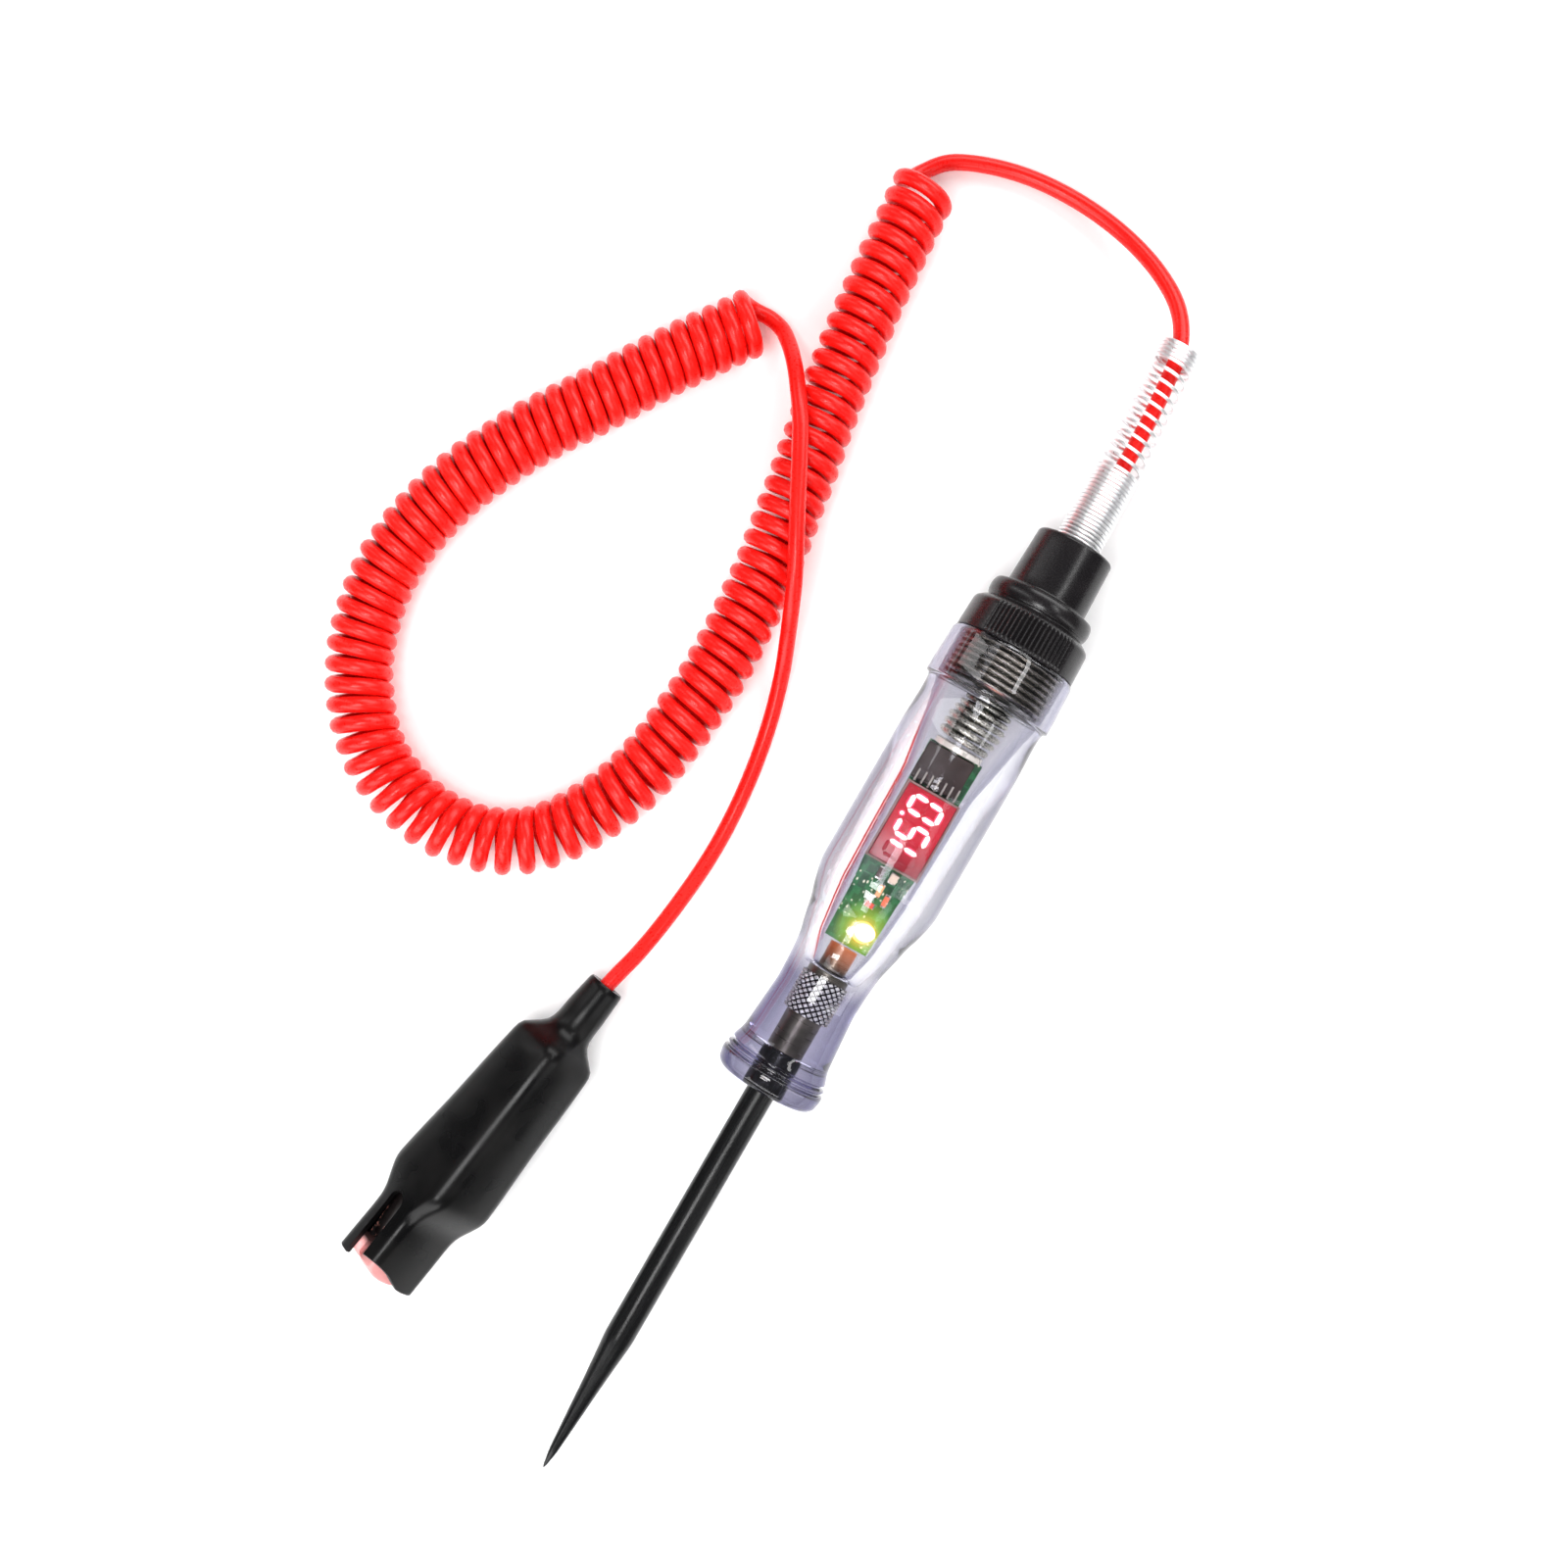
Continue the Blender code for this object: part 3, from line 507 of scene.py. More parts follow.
def cord():
    """The whole lead as one cord, from the cap's terminal through the coil into the clip's boot."""
    rise = [(-76.3, 151.7, 4.1), (-77.0, 150.6, 6.0)]
    fall = [(-94.75, 107.6, 5.9), (-93.0, 107.8, 3.6), (-90.5, 108.0, 2.5)]
    neck = in_clip(BOOT_END, 0, 0) / MM
    inside = in_clip(67.0, 0, 0) / MM
    route = UPPER_ROUTE + rise + coil_points() + fall + LOWER_ROUTE
    points = through(route + [neck, neck.lerp(inside, 0.5), inside], CORD_STEP)
    path = [Vector(p) * MM for p in points]
    nodes = ("cord_lead_upper", "cord_coil", "cord_lead_lower")
    return curve_piece("cord", path, CORD_R, cord_red(), "cord_end", nodes, 4)


def cord_red():
    material = look("cord_pvc", (0.9, 0.01, 0.006), 0.3, Specular_IOR_Level=0.32)
    soft = grain(material, 90.0, 2.0)
    tone = spread(material, soft, 0.35, 0.65)
    tint(material, tone, (0.95, 0.011, 0.007), (0.87, 0.007, 0.005))
    fine = grain(material, 1400.0, 3.0)
    roughen(material, fine, 0.25, 0.36)
    bump(material, fine, 0.02, 0.35)
    return material


# ---- the handle


def clear_plastic():
    """Clear plastic with a violet tint that deepens with its thickness. Lamps shine through it."""
    material = look("clear_plastic", (0.97, 0.968, 0.985), 0.03, Transmission_Weight=1.0, IOR=1.47)
    tree = material.node_tree
    shader = tree.nodes["Principled BSDF"]
    output = tree.nodes["Material Output"]
    path = add(material, "ShaderNodeLightPath")
    clear = add(material, "ShaderNodeBsdfTransparent", {"Color": (1.0, 1.0, 1.0, 1.0)})
    mixed = add(material, "ShaderNodeMixShader", {0: path.outputs["Is Shadow Ray"]})
    tree.links.new(shader.outputs[0], mixed.inputs[1])
    tree.links.new(clear.outputs[0], mixed.inputs[2])
    tree.links.new(mixed.outputs[0], output.inputs["Surface"])
    slant = add(material, "ShaderNodeLayerWeight", {"Blend": 0.5}).outputs["Facing"]
    station = coordinates(material)[1]
    hollow = spread(material, station, 0.126, 0.132)
    collar = spread(material, station, 0.1992, 0.2006)
    low = spread(material, hollow, 0.0, 1.0, 0.05, 0.32)
    high = spread(material, hollow, 0.0, 1.0, 0.50, 0.62)
    edge = spread(material, slant, low, high)
    middle = blend_colours(material, hollow, (0.38, 0.37, 0.475), (0.70, 0.70, 0.74))
    middle = blend_colours(material, collar, middle, (0.52, 0.52, 0.56))
    rim = blend_colours(material, hollow, (0.06, 0.055, 0.16), (0.22, 0.21, 0.33))
    tint(material, edge, middle, rim)
    waves = grain(material, 160.0, 1.0)
    fine = grain(material, 2600.0, 2.0)
    rough = emboss(material, fine, 0.004, 0.25)
    bump(material, waves, 0.05, 0.3, rough)
    roughen(material, fine, 0.015, 0.06)
    return material


COLLAR = [
    (212.7, 14.9), (212.1, 15.25), (208.0, 15.4), (204.0, 15.6), (200.6, 15.6), (200.3, 14.8),
    (199.4, 14.6),
]
SHELL_OUTSIDE = [
    (199.0, 14.55), (196.4, 14.5), (189.0, 14.8), (152.0, 14.8), (149.6, 14.4), (145.5, 13.4),
    (143.0, 12.5), (139.0, 11.7), (134.5, 10.55), (130.0, 10.1), (123.5, 9.8), (116.0, 10.4),
    (110.0, 10.9), (107.6, 11.8),
]
GROOVES = [
    (107.0, 11.9), (106.7, 11.2), (106.2, 11.2), (105.9, 12.3), (105.4, 12.4), (105.1, 11.8),
    (104.7, 11.9), (104.4, 12.7), (103.4, 12.8), (101.2, 12.4), (100.3, 11.6), (100.0, 11.1),
]
HIDDEN_WALL = [(100.0, 3.3), (108.9, 3.3), (109.1, 2.9), (128.6, 2.9), (129.0, 3.3)]


def thread_wave(station, turn):
    """Height of the screw thread's flank, from -0.5 to 0.5."""
    phase = (station / PITCH - turn) % 1.0
    ramp = 4.0 * abs(phase - 0.5) - 1.0
    return 0.5 * max(-0.85, min(0.85, ramp)) / 0.85


def handle():
    """The clear moulding: solid round the needle, hollow from the bush on; its threaded mouth is drawn as
    a plain bore.
    """
    outside = soften(COLLAR, 0.3, 3) + soften(SHELL_OUTSIDE, 1.4, 4) + soften(GROOVES, 0.45, 4)
    bore = [(130.0, 3.3), (130.0, 4.4), (131.0, 5.0), (138.0, 6.5), (151.0, 7.7), (178.0, 8.5)]
    bore = soften(bore + [(200.0, 13.0)], 1.2, 4)
    mouth = [(201.8, 13.35), (212.5, 13.4)]
    profile = divide(outside, 3.0) + HIDDEN_WALL + divide(bore, 3.0) + divide(mouth, 1.5)
    shape = lathe(profile, 128, closed=True)
    finish_mesh("handle_clear", shape, clear_plastic(), "handle", ("handle_shell",))


# ---- the needle


def probe_black():
    """Baked black finish: fine grain, and long soft streaks along the needle."""
    material = look("probe_black", (0.004, 0.004, 0.0045), 0.3, Specular_IOR_Level=0.3)
    streaks = grain(material, 900.0, 3.0, (1.0, 0.05, 1.0))
    fine = grain(material, 3500.0, 4.0)
    roughen(material, streaks, 0.18, 0.34)
    specks = spread(material, fine, 0.4, 0.75)
    tint(material, specks, (0.004, 0.004, 0.0045), (0.011, 0.011, 0.011))
    bump(material, fine, 0.012, 0.5)
    return material


def turned_steel(name, colour, low, high, marks=0.015):
    """Bare steel with fine turning marks round the axis."""
    material = look(name, colour, 0.3, 1.0)
    rings = grain(material, 500.0, 4.0, (0.15, 6.0, 0.15))
    roughen(material, rings, low, high)
    bump(material, rings, marks, 0.5)
    stain = grain(material, 160.0, 3.0)
    darker = tuple(c * 0.62 for c in colour)
    stained = spread(material, stain, 0.42, 0.62)
    tint(material, stained, colour, darker)
    return material


def knurl_steel():
    """Bright diamond tops and dark grooves, told apart by their distance from the axis."""
    material = look("knurl_steel", (0.8, 0.79, 0.77), 0.28, 1.0)
    top = spread(material, off_axis(material), 0.00350, 0.00366)
    tint(material, top, (0.02, 0.018, 0.02), (0.98, 0.97, 0.95))
    roughen(material, grain(material, 2500.0), 0.22, 0.4)
    return material


def knurl_wave(station, turn):
    """Two sets of crossing grooves that leave diamonds: 1 on a diamond, 0 in a groove."""
    along = (station - 118.6) / 1.55
    first = abs(((turn * 15 + along) % 1.0) - 0.5) * 2.0
    second = abs(((turn * 15 - along) % 1.0) - 0.5) * 2.0
    return min(1.0, max(0.0, 2.6 * min(first, second) - 0.5))


def probe():
    """The needle, its bare shank and knurled tail in the handle, and the sleeve on the tail's end, with
    the lamp's light painted on the sleeve as a glow.
    """
    needle = [(109.0, 0.0), (109.0, 3.4), (34.5, 3.4), (33.0, 3.3), (29.0, 2.9), (22.0, 2.3)]
    needle += [(11.0, 1.5), (4.4, 1.0), (0.8, 0.35), (0.0, 0.0)]
    shape = lathe(divide(soften(needle, 1.2, 4), 4.0), 64)
    finish_mesh("probe_needle", shape, probe_black(), "handle", ("probe_rod",), 60.0)
    steel = turned_steel("shank_steel", (0.17, 0.155, 0.13), 0.25, 0.4, 0.004)
    shank = [(118.7, 0.0), (118.7, 3.0), (110.0, 3.0), (109.02, 3.0), (109.02, 0.0)]
    finish_mesh("probe_shank", lathe(shank, 64), steel, "handle", ("probe_rod",))

    def knurled(station, turn, base):
        return base + 0.45 * knurl_wave(station, turn) if base > 3.3 else base

    rows = [(128.4 - 0.125 * i, 3.45) for i in range(79)]
    shape = lathe([(128.5, 0.0), (128.5, 3.3)] + rows + [(118.55, 3.2), (118.55, 0.0)], 176, knurled)
    finish_mesh("probe_knurl", shape, knurl_steel(), "handle", ("probe_rod",), 60.0)
    tail = [(136.8, 0.0), (136.8, 2.2), (130.2, 2.2), (130.2, 3.4), (128.5, 3.4), (128.5, 0.0)]
    finish_mesh("probe_tail", lathe(tail, 48), steel, "handle", ("probe_rod",))
    bush = [(137.2, 3.3), (137.1, 3.4), (130.6, 3.4), (130.6, 2.5), (137.2, 2.5)]
    shape = lathe(bush, 64, closed=True)
    sleeve = turned_steel("bush_steel_painted_glow", (0.25, 0.21, 0.16), 0.25, 0.42)
    # Painted glow: the lamp's orange light is painted on the sleeve as emission, strongest on the side
    # nearest the lamp.
    near = distance_from(sleeve, on_axis(LAMP[1] - 1.2, LAMP[0], 3.0))
    lit = spread(sleeve, near, 0.0045, 0.0105, 1.0, 0.0)
    glow(sleeve, blend_colours(sleeve, lit, (0.0, 0.0, 0.0), (1.0, 0.16, 0.01)), 0.7)
    finish_mesh("bush", shape, sleeve, "handle", ("contact_bush",))


# ---- the board and what is on it

BOARD_TOP = -1.0
LAMP = (2.0, 142.6)


def slab(name, low, high, edge, material, nodes=(), slot=None, taper=0.0):
    """A moulded block between two corners given as (across, station, height), its edges rounded."""
    shape = bmesh.new()
    bmesh.ops.create_cube(shape, size=1.0)
    low, high = Vector(low), Vector(high)
    for vert in shape.verts:
        narrow = 1.0 - taper * (vert.co.z + 0.5)
        unit = Vector((vert.co.x * narrow, vert.co.y * narrow, vert.co.z))
        at = (low + high) / 2 + Vector(a * b for a, b in zip(unit, high - low))
        vert.co = on_axis(at.y, at.x, at.z)
    edges = list(shape.edges)
    bmesh.ops.bevel(shape, geom=edges, offset=edge * MM, segments=3, profile=0.6, affect="EDGES")
    return finish_mesh(name, shape, material, "handle", nodes, 40.0)


def board_green():
    """Solder mask over copper: straight tracks with pads and vias, and the lamp's light painted on as a
    glow round the lamp.
    """
    material = look("board_green", (0.01, 0.1, 0.03), 0.35, Coat_Weight=0.35, Coat_Roughness=0.15)

    def cells(scale, randomness, metric):
        inputs = {"Vector": flat_place(material), "Scale": scale, "Randomness": randomness}
        kinds = {"distance": metric, "feature": "F1", "voronoi_dimensions": "2D"}
        return add(material, "ShaderNodeTexVoronoi", inputs, **kinds).outputs["Distance"]

    tracks = spread(material, cells(420.0, 0.75, "CHEBYCHEV"), 0.36, 0.42)
    mask = blend_colours(material, tracks, (0.004, 0.06, 0.018), (0.012, 0.13, 0.04))
    dots = spread(material, cells(700.0, 0.55, "EUCLIDEAN"), 0.13, 0.17, 1.0, 0.0)
    chosen = spread(material, grain(material, 300.0, 1.0), 0.52, 0.56)
    pads = math_node(material, "MULTIPLY", dots, chosen)
    tint(material, pads, mask, (0.85, 0.8, 0.62))
    bump(material, tracks, 0.03, 0.6)
    # Painted glow: the lamp's light on the board is painted on as emission, yellow near the lamp and
    # fading to nothing.
    near = distance_from(material, on_axis(LAMP[1], LAMP[0], 1.0))
    lit = spread(material, near, 0.0018, 0.0105, 1.0, 0.0)
    stops = [
        (0.0, (0.0, 0.0, 0.0)),
        (0.35, (0.03, 0.07, 0.004)),
        (0.66, (0.30, 0.42, 0.02)),
        (0.84, (0.95, 0.66, 0.07)),
        (1.0, (1.0, 0.62, 0.10)),
    ]
    glow(material, ramp_colour(material, lit, stops), 1.3)
    return material


def board():
    """The board, narrower in front, where the handle tapers."""
    edge = [(5.7, 137.7), (6.1, 151.0), (6.9, 156.5), (6.9, 186.2)]
    outline = [(-5.7, 137.7)] + edge + [(-x, s) for x, s in edge[:0:-1]]
    shape = bmesh.new()
    rings = [
        [shape.verts.new(on_axis(s, x, h)) for x, s in outline]
        for h in (BOARD_TOP - 1.6, BOARD_TOP)
    ]
    join(shape, rings[0], rings[1])
    shape.faces.new(rings[0][::-1])
    shape.faces.new(rings[1])
    rims = [e for e in shape.edges if e.calc_face_angle(0.0) > 0.5]
    bmesh.ops.bevel(shape, geom=rims, offset=0.08 * MM, segments=2, affect="EDGES")
    finish_mesh("board", shape, board_green(), "handle", ("circuit_board",))


def solder():
    material = look("solder", (0.82, 0.80, 0.76), 0.22, 1.0)
    lumps = grain(material, 1500.0, 3.0)
    roughen(material, lumps, 0.15, 0.35)
    bump(material, lumps, 0.03, 0.5)
    return material


def moulded(name, colour, low, high):
    """Moulded plastic or lacquer: faint mottling and a fine texture."""
    material = look(name, colour, low)
    fine = grain(material, 2200.0, 4.0)
    soft = grain(material, 220.0, 2.0)
    lighter = tuple(min(1.0, c * 1.35 + 0.004) for c in colour)
    mottling = spread(material, soft, 0.35, 0.7)
    tint(material, mottling, colour, lighter)
    roughen(material, fine, low, high)
    bump(material, fine, 0.02, 0.5)
    return material


# A digit's bars, each from one corner or middle of its box to another.
SEGMENTS = {
    "a": ((0.0, 1.0), (1.0, 1.0)),
    "b": ((1.0, 1.0), (1.0, 0.5)),
    "c": ((1.0, 0.5), (1.0, 0.0)),
    "d": ((0.0, 0.0), (1.0, 0.0)),
    "e": ((0.0, 0.5), (0.0, 0.0)),
    "f": ((0.0, 1.0), (0.0, 0.5)),
    "g": ((0.0, 0.5), (1.0, 0.5)),
}
# Each digit's lit bars, the station its box starts at, and the box's width.
DIGITS = [("bc", 159.35, 3.2), ("acdfg", 164.55, 3.5), ("abcdef", 170.45, 3.7)]
DIGIT_TALL = 6.9
DIGIT_LEAN = 0.05
SEGMENT_GAP = 0.16
POINT_AT = (169.2, -3.9)  # the decimal point's station and place across


def bar(shape, start, end, half, height):
    """A flat lit segment with pointed ends, in the plane of the read-out."""
    start, end = Vector(start), Vector(end)
    along = (end - start).normalized()
    side = Vector((-along.y, along.x))
    start, end = start + along * SEGMENT_GAP, end - along * SEGMENT_GAP
    points = [
        start,
        start + (along + side) * half,
        end + (side - along) * half,
        end,
        end - (along + side) * half,
        start + (along - side) * half,
    ]
    shape.faces.new([shape.verts.new(on_axis(p.y, p.x, height)) for p in points])


def disc(shape, centre, radius, height, sides):
    """A ring of points at a height, round a centre given as (station, across)."""
    ring = []
    for k in range(sides):
        angle = math.tau * k / sides
        station, across = centre[0] + radius * math.cos(angle), centre[1] + radius * math.sin(angle)
        ring.append(shape.verts.new(on_axis(station, across, height)))
    return ring


def glowing(name, first, second, strength, scale):
    """A lit surface whose colour drifts unevenly between two."""
    material = look(name, second, 0.4)
    settings = {"Vector": flat_place(material), "Scale": scale, "Detail": 2.0}
    drift = spread(material, add(material, "ShaderNodeTexNoise", settings).outputs["Fac"], 0.3, 0.7)
    glow(material, blend_colours(material, drift, first, second), strength)
    return material


def read_out():
    """Housing, red window with the digits' light painted on it as a glow, and the lit digits with painted
    glow halos round them.
    """
    top, rim, chamfer = 3.6, 0.45, 0.15
    half, near, far = 6.2, 157.2, 176.6
    shape = bmesh.new()
    loops = []
    levels = [(0.0, -0.7), (0.0, top - chamfer), (chamfer, top), (rim, top), (rim, top - 1.2)]
    for inset, height in levels:
        x, low, high = half - inset, near + inset, far - inset
        corners = [(-x, low), (x, low), (x, high), (-x, high)]
        loops.append([shape.verts.new(on_axis(y, x, height)) for x, y in corners])
    for a, b in zip(loops, loops[1:]):
        join(shape, a, b)
    shape.faces.new(loops[0][::-1])
    shape.faces.new(loops[-1])
    dark = moulded("display_case", (0.20, 0.11, 0.10), 0.3, 0.5)
    finish_mesh("display_case", shape, dark, "handle", ("display_housing",))

    window = look("window_red_painted_glow", (0.22, 0.012, 0.02), 0.25, Coat_Weight=0.3, Coat_Roughness=0.1)
    # Painted glow: the digits' red light is painted on the window as emission, brightest round their
    # middle.
    middle = distance_from(window, on_axis(169.6, 0.3, 3.5))
    lit = spread(window, middle, 0.0045, 0.0115, 1.0, 0.0)
    cells = grain(window, 1500.0, 2.0)
    lit = math_node(window, "MULTIPLY", lit, spread(window, cells, 0.2, 0.8, 0.75, 1.15))
    glow(window, blend_colours(window, lit, (0.10, 0.004, 0.010), (0.85, 0.006, 0.03)), 0.7)
    corners = (-5.65, 157.75, 2.75), (5.65, 176.05, 3.5)
    slab("display_window", *corners, 0.12, window, ("display_window",), "display_red")

    white = glowing("digit_white", (1.0, 0.92, 0.80), (1.0, 0.74, 0.76), 2.0, 900.0)
    # Painted glow: the halos are glowing plates a little wider than the lit bars, painted as the digits'
    # light spreading round them.
    painted_halo = glowing("digit_painted_halo", (1.0, 0.16, 0.20), (1.0, 0.05, 0.12), 1.05, 600.0)
    for name, half, height, material, lit_only in (
        ("digit_painted_halos", 0.80, 3.54, painted_halo, True),
        ("digits", 0.48, 3.60, white, True),
        ("digit_blanks", 0.40, 3.52, window, False),
    ):
        shape = bmesh.new()
        for lit_bars, start, wide in DIGITS:
            for key, corners in SEGMENTS.items():
                if (key in lit_bars) != lit_only:
                    continue
                ends = []
                for x, y in corners:
                    up = (y - 0.5) * DIGIT_TALL
                    ends.append((-up, start + x * wide + up * DIGIT_LEAN))
                bar(shape, *ends, half, height)
        if lit_only:
            shape.faces.new(disc(shape, POINT_AT, half * 0.9, height, 12))
        made = finish_mesh(name, shape, material, "handle", ())
        depth = made.modifiers.new("depth", "SOLIDIFY")
        depth.thickness = 0.03 * MM


# The board's small parts: where their middles lie, their size, and their colour.
SMALL_PARTS = [
    ("resistor_1", (0.1, 148.7), (2.0, 1.2, 0.7), (0.55, 0.06, 0.03)),
    ("resistor_2", (2.9, 150.8), (1.2, 2.0, 0.7), (0.62, 0.12, 0.05)),
    ("resistor_3", (0.6, 151.9), (1.2, 2.0, 0.7), (0.80, 0.34, 0.16)),
    ("transistor", (-1.3, 155.1), (1.5, 2.4, 1.1), (0.10, 0.06, 0.06)),
    ("capacitor", (1.9, 155.3), (1.8, 2.0, 1.4), (0.72, 0.58, 0.46)),
]


def chip_and_parts():
    """The controller chip with its row of leads, and the small parts with their tinned ends."""
    dark = moulded("chip_body", (0.020, 0.008, 0.006), 0.35, 0.55)
    corners = (-6.7, 177.3, -0.5), (5.0, 185.9, 1.5)
    slab("chip", *corners, 0.2, dark, ("controller_chip",), "chip_brown", taper=0.02)
    pewter = moulded("lead_tin", (0.30, 0.27, 0.24), 0.4, 0.55)
    for i in range(7):
        x = -5.3 + 10.0 * i / 6
        corners = (x - 0.2, 176.8, 0.9), (x + 0.2, 179.4, 1.8)
        slab(f"chip_lead_{i}", *corners, 0.08, pewter, (), "ceramic_white")
    metal = solder()
    base = BOARD_TOP + 0.25
    for name, (x, y), (wide, long, tall), colour in SMALL_PARTS:
        middle = Vector((x, y, base))
        half = Vector((wide / 2, long / 2, 0.0))
        rise = Vector((0.0, 0.0, tall))
        material = moulded(name + "_body", colour, 0.3, 0.45)
        corners = middle - half, middle + half + rise
        slab(name + "_body", *corners, 0.1, material, (name,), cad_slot(name))
        for side in (-1, 1):
            if wide >= long:
                shift, reach = Vector((side * wide / 2, 0, 0)), Vector((0.28, long / 2 + 0.03, 0))
            else:
                shift, reach = Vector((0, side * long / 2, 0)), Vector((wide / 2 + 0.03, 0.28, 0))
            low = middle + shift - reach - Vector((0.0, 0.0, 0.2))
            high = middle + shift + reach + rise * 0.95
            slab(f"{name}_cap_{'ab'[side > 0]}", low, high, 0.1, metal, (), "ceramic_white")


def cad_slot(node):
    """The material slot that the row's record gives a node."""
    return next(p["material_slot"] for p in frame["record"]["subparts"] if p["node"] == node)


def lamp():
    """A lit round lamp: a white-hot middle in a yellow dome, orange towards its flange."""
    material = look("lamp_lit", (1.0, 0.8, 0.3), 0.12)
    near = distance_from(material, on_axis(LAMP[1], LAMP[0], 3.4))
    share = spread(material, near, 0.0014, 0.0036)
    stops = [(0.0, (1.0, 0.98, 0.85)), (0.5, (1.0, 0.80, 0.22)), (1.0, (1.0, 0.25, 0.02))]
    glow(material, ramp_colour(material, share, stops), 3.6)
    rows = [(4.3, 0.0)]
    for i in range(1, 9):
        angle = math.pi / 2 * i / 8
        rows.append((1.9 + 2.4 * math.cos(angle), 2.4 * math.sin(angle)))
    rows += [(0.2, 2.4), (0.15, 2.85), (-0.6, 2.85), (-0.7, 2.75), (-0.7, 0.0)]
    shape = bmesh.new()
    rings = []
    for height, radius in rows:
        if radius < 1e-6:
            rings.append([shape.verts.new(on_axis(LAMP[1], LAMP[0], height))])
        else:
            rings.append(disc(shape, LAMP[::-1], radius, height, 40))
    for a, b in zip(rings, rings[1:]):
        join(shape, a, b)
    finish_mesh("lamp", shape, material, "handle", ("indicator_led",))


def seat():
    """The tinned disc on the board's end, where the contact spring stands."""
    tinned = look("tinned", (0.90, 0.84, 0.74), 0.3, 0.6)
    marks = grain(tinned, 700.0, 4.0)
    roughen(tinned, marks, 0.2, 0.42)
    bump(tinned, marks, 0.03, 0.5)
    rows = soften([(187.7, 0.0), (187.7, 5.9), (186.35, 5.9), (186.35, 0.0)], 0.3, 3)
    finish_mesh("seat", lathe(rows, 64), tinned, "handle", ("spring_seat",))


# ---- springs and the cap


def spring_wire(name, colour, low, high):
    material = look(name, colour, 0.2, 1.0)
    drawn = grain(material, 1800.0, 4.0)
    roughen(material, drawn, low, high)
    bump(material, drawn, 0.006, 0.4)
    return material


def contact_spring():
    """Spring between the seat and the plug. It leans to one side."""
    turns, per_turn = 6.3, 30
    points = []
    for i in range(round(turns * per_turn) + 1):
        share = i / (turns * per_turn)
        station = 188.75 + 12.0 * share
        radius = 5.3 + 0.9 * math.sin(math.pi * min(1.0, share + 0.15))
        angle = math.tau * turns * share
        across = 1.3 * share + radius * math.cos(angle)
        points.append(on_axis(station, across, radius * math.sin(angle)))
    steel = spring_wire("contact_spring_steel_painted_shade", (0.85, 0.82, 0.74), 0.2, 0.34)
    # Painted shade: the wire's side that faces into the coil is painted dark olive as the shade inside
    # the coil; its outer side keeps the steel's colour.
    outer = spread(steel, off_axis(steel, 0.11, 0.1888), 0.0052, 0.0064)
    tint(steel, outer, (0.035, 0.045, 0.025), (0.66, 0.64, 0.56))
    made = to_mesh(curve_piece("contact_spring_wire", points, 0.68, steel, None))
    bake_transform(made)
    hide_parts("contact_spring")


def relief_spring():
    """Spring round the cord: close-wound in the neck, open over the cord, close-wound at its end."""
    rows = [(236.0, 0.97), (260.2, 0.97), (261.6, 2.8), (287.0, 2.75), (288.0, 0.96), (292.1, 0.93)]
    station, turn = rows[0][0], 0.0
    points = []
    per_turn = 24
    while station < rows[-1][0]:
        for (s0, p0), (s1, p1) in zip(rows, rows[1:]):
            if s0 <= station <= s1:
                pitch = p0 + (p1 - p0) * (station - s0) / (s1 - s0)
        bend = max(0.0, (station - NECK_END) / 51.2)
        radius = 5.1 - 0.35 * min(1.0, max(0.0, (station - 241.0) / 30.0))
        angle = math.tau * turn
        across = -2.0 * bend**2 + radius * math.cos(angle)
        points.append(on_axis(station, across, radius * math.sin(angle)))
        station += pitch / per_turn
        turn += 1.0 / per_turn
    steel = spring_wire("relief_spring_steel", (0.94, 0.94, 0.95), 0.26, 0.4)
    nodes = ("strain_relief_spring",)
    curve_piece("relief_spring", points, 0.45, steel, "cord_end", nodes, 2)


def cap_black():
    material = look("cap_black", (0.012, 0.011, 0.012), 0.3, Specular_IOR_Level=0.42)
    fine = grain(material, 3000.0, 4.0)
    soft = grain(material, 130.0, 2.0)
    roughen(material, fine, 0.2, 0.34)
    bump(material, fine, 0.005, 0.4)
    tone = spread(material, soft, 0.3, 0.7)
    tint(material, tone, (0.006, 0.005, 0.006), (0.012, 0.010, 0.011))
    return material


RIBS = 78  # as many as would fill the ring; they stand on its two grips only
RIB_DEPTH = 0.65


def cap():
    """Screw cap: grip ribs on two sides of its ring, a rolled bead and a plain neck."""
    ring = [(213.0, 14.2), (213.0, 14.75), (220.6, 14.45), (221.6, 13.2), (222.3, 12.0)]
    outside = soften(ring, 0.7, 4)
    bead = []
    for i in range(1, 12):
        angle = math.pi * i / 12
        bead.append((222.5 + 2.15 * (1 - math.cos(angle)), 11.75 + 0.85 * math.sin(angle)))
    neck = soften([(226.9, 11.2), (227.2, 9.75), (240.7, 9.3), (NECK_END, 8.9), (NECK_END, 5.95)], 0.5, 4)
    inside = [(226.0, 5.95), (226.0, 2.4), (221.4, 2.4), (221.4, 10.6), (213.0, 10.6)]
    profile = divide(outside, 0.35) + bead + divide(neck, 2.0) + inside

    def ribbed(station, turn, base):
        if not 213.4 < station < 221.2 or base < 12.5:
            return base
        side = abs(turn * 360.0 % 180.0 - 90.0)
        inside_grip = min(1.0, max(0.0, (42.5 - side) / 2.0))
        ends = min(1.0, (station - 213.4) / 0.5, (221.2 - station) / 0.6)
        wave = 0.5 - 0.5 * math.cos(math.tau * turn * RIBS)
        return base - RIB_DEPTH * inside_grip * max(0.0, ends) * (1.0 - wave**0.7)

    shape = lathe(profile, 8 * RIBS, ribbed, closed=True)
    finish_mesh("cap", shape, cap_black(), "cap", ("screw_cap",), 50.0)


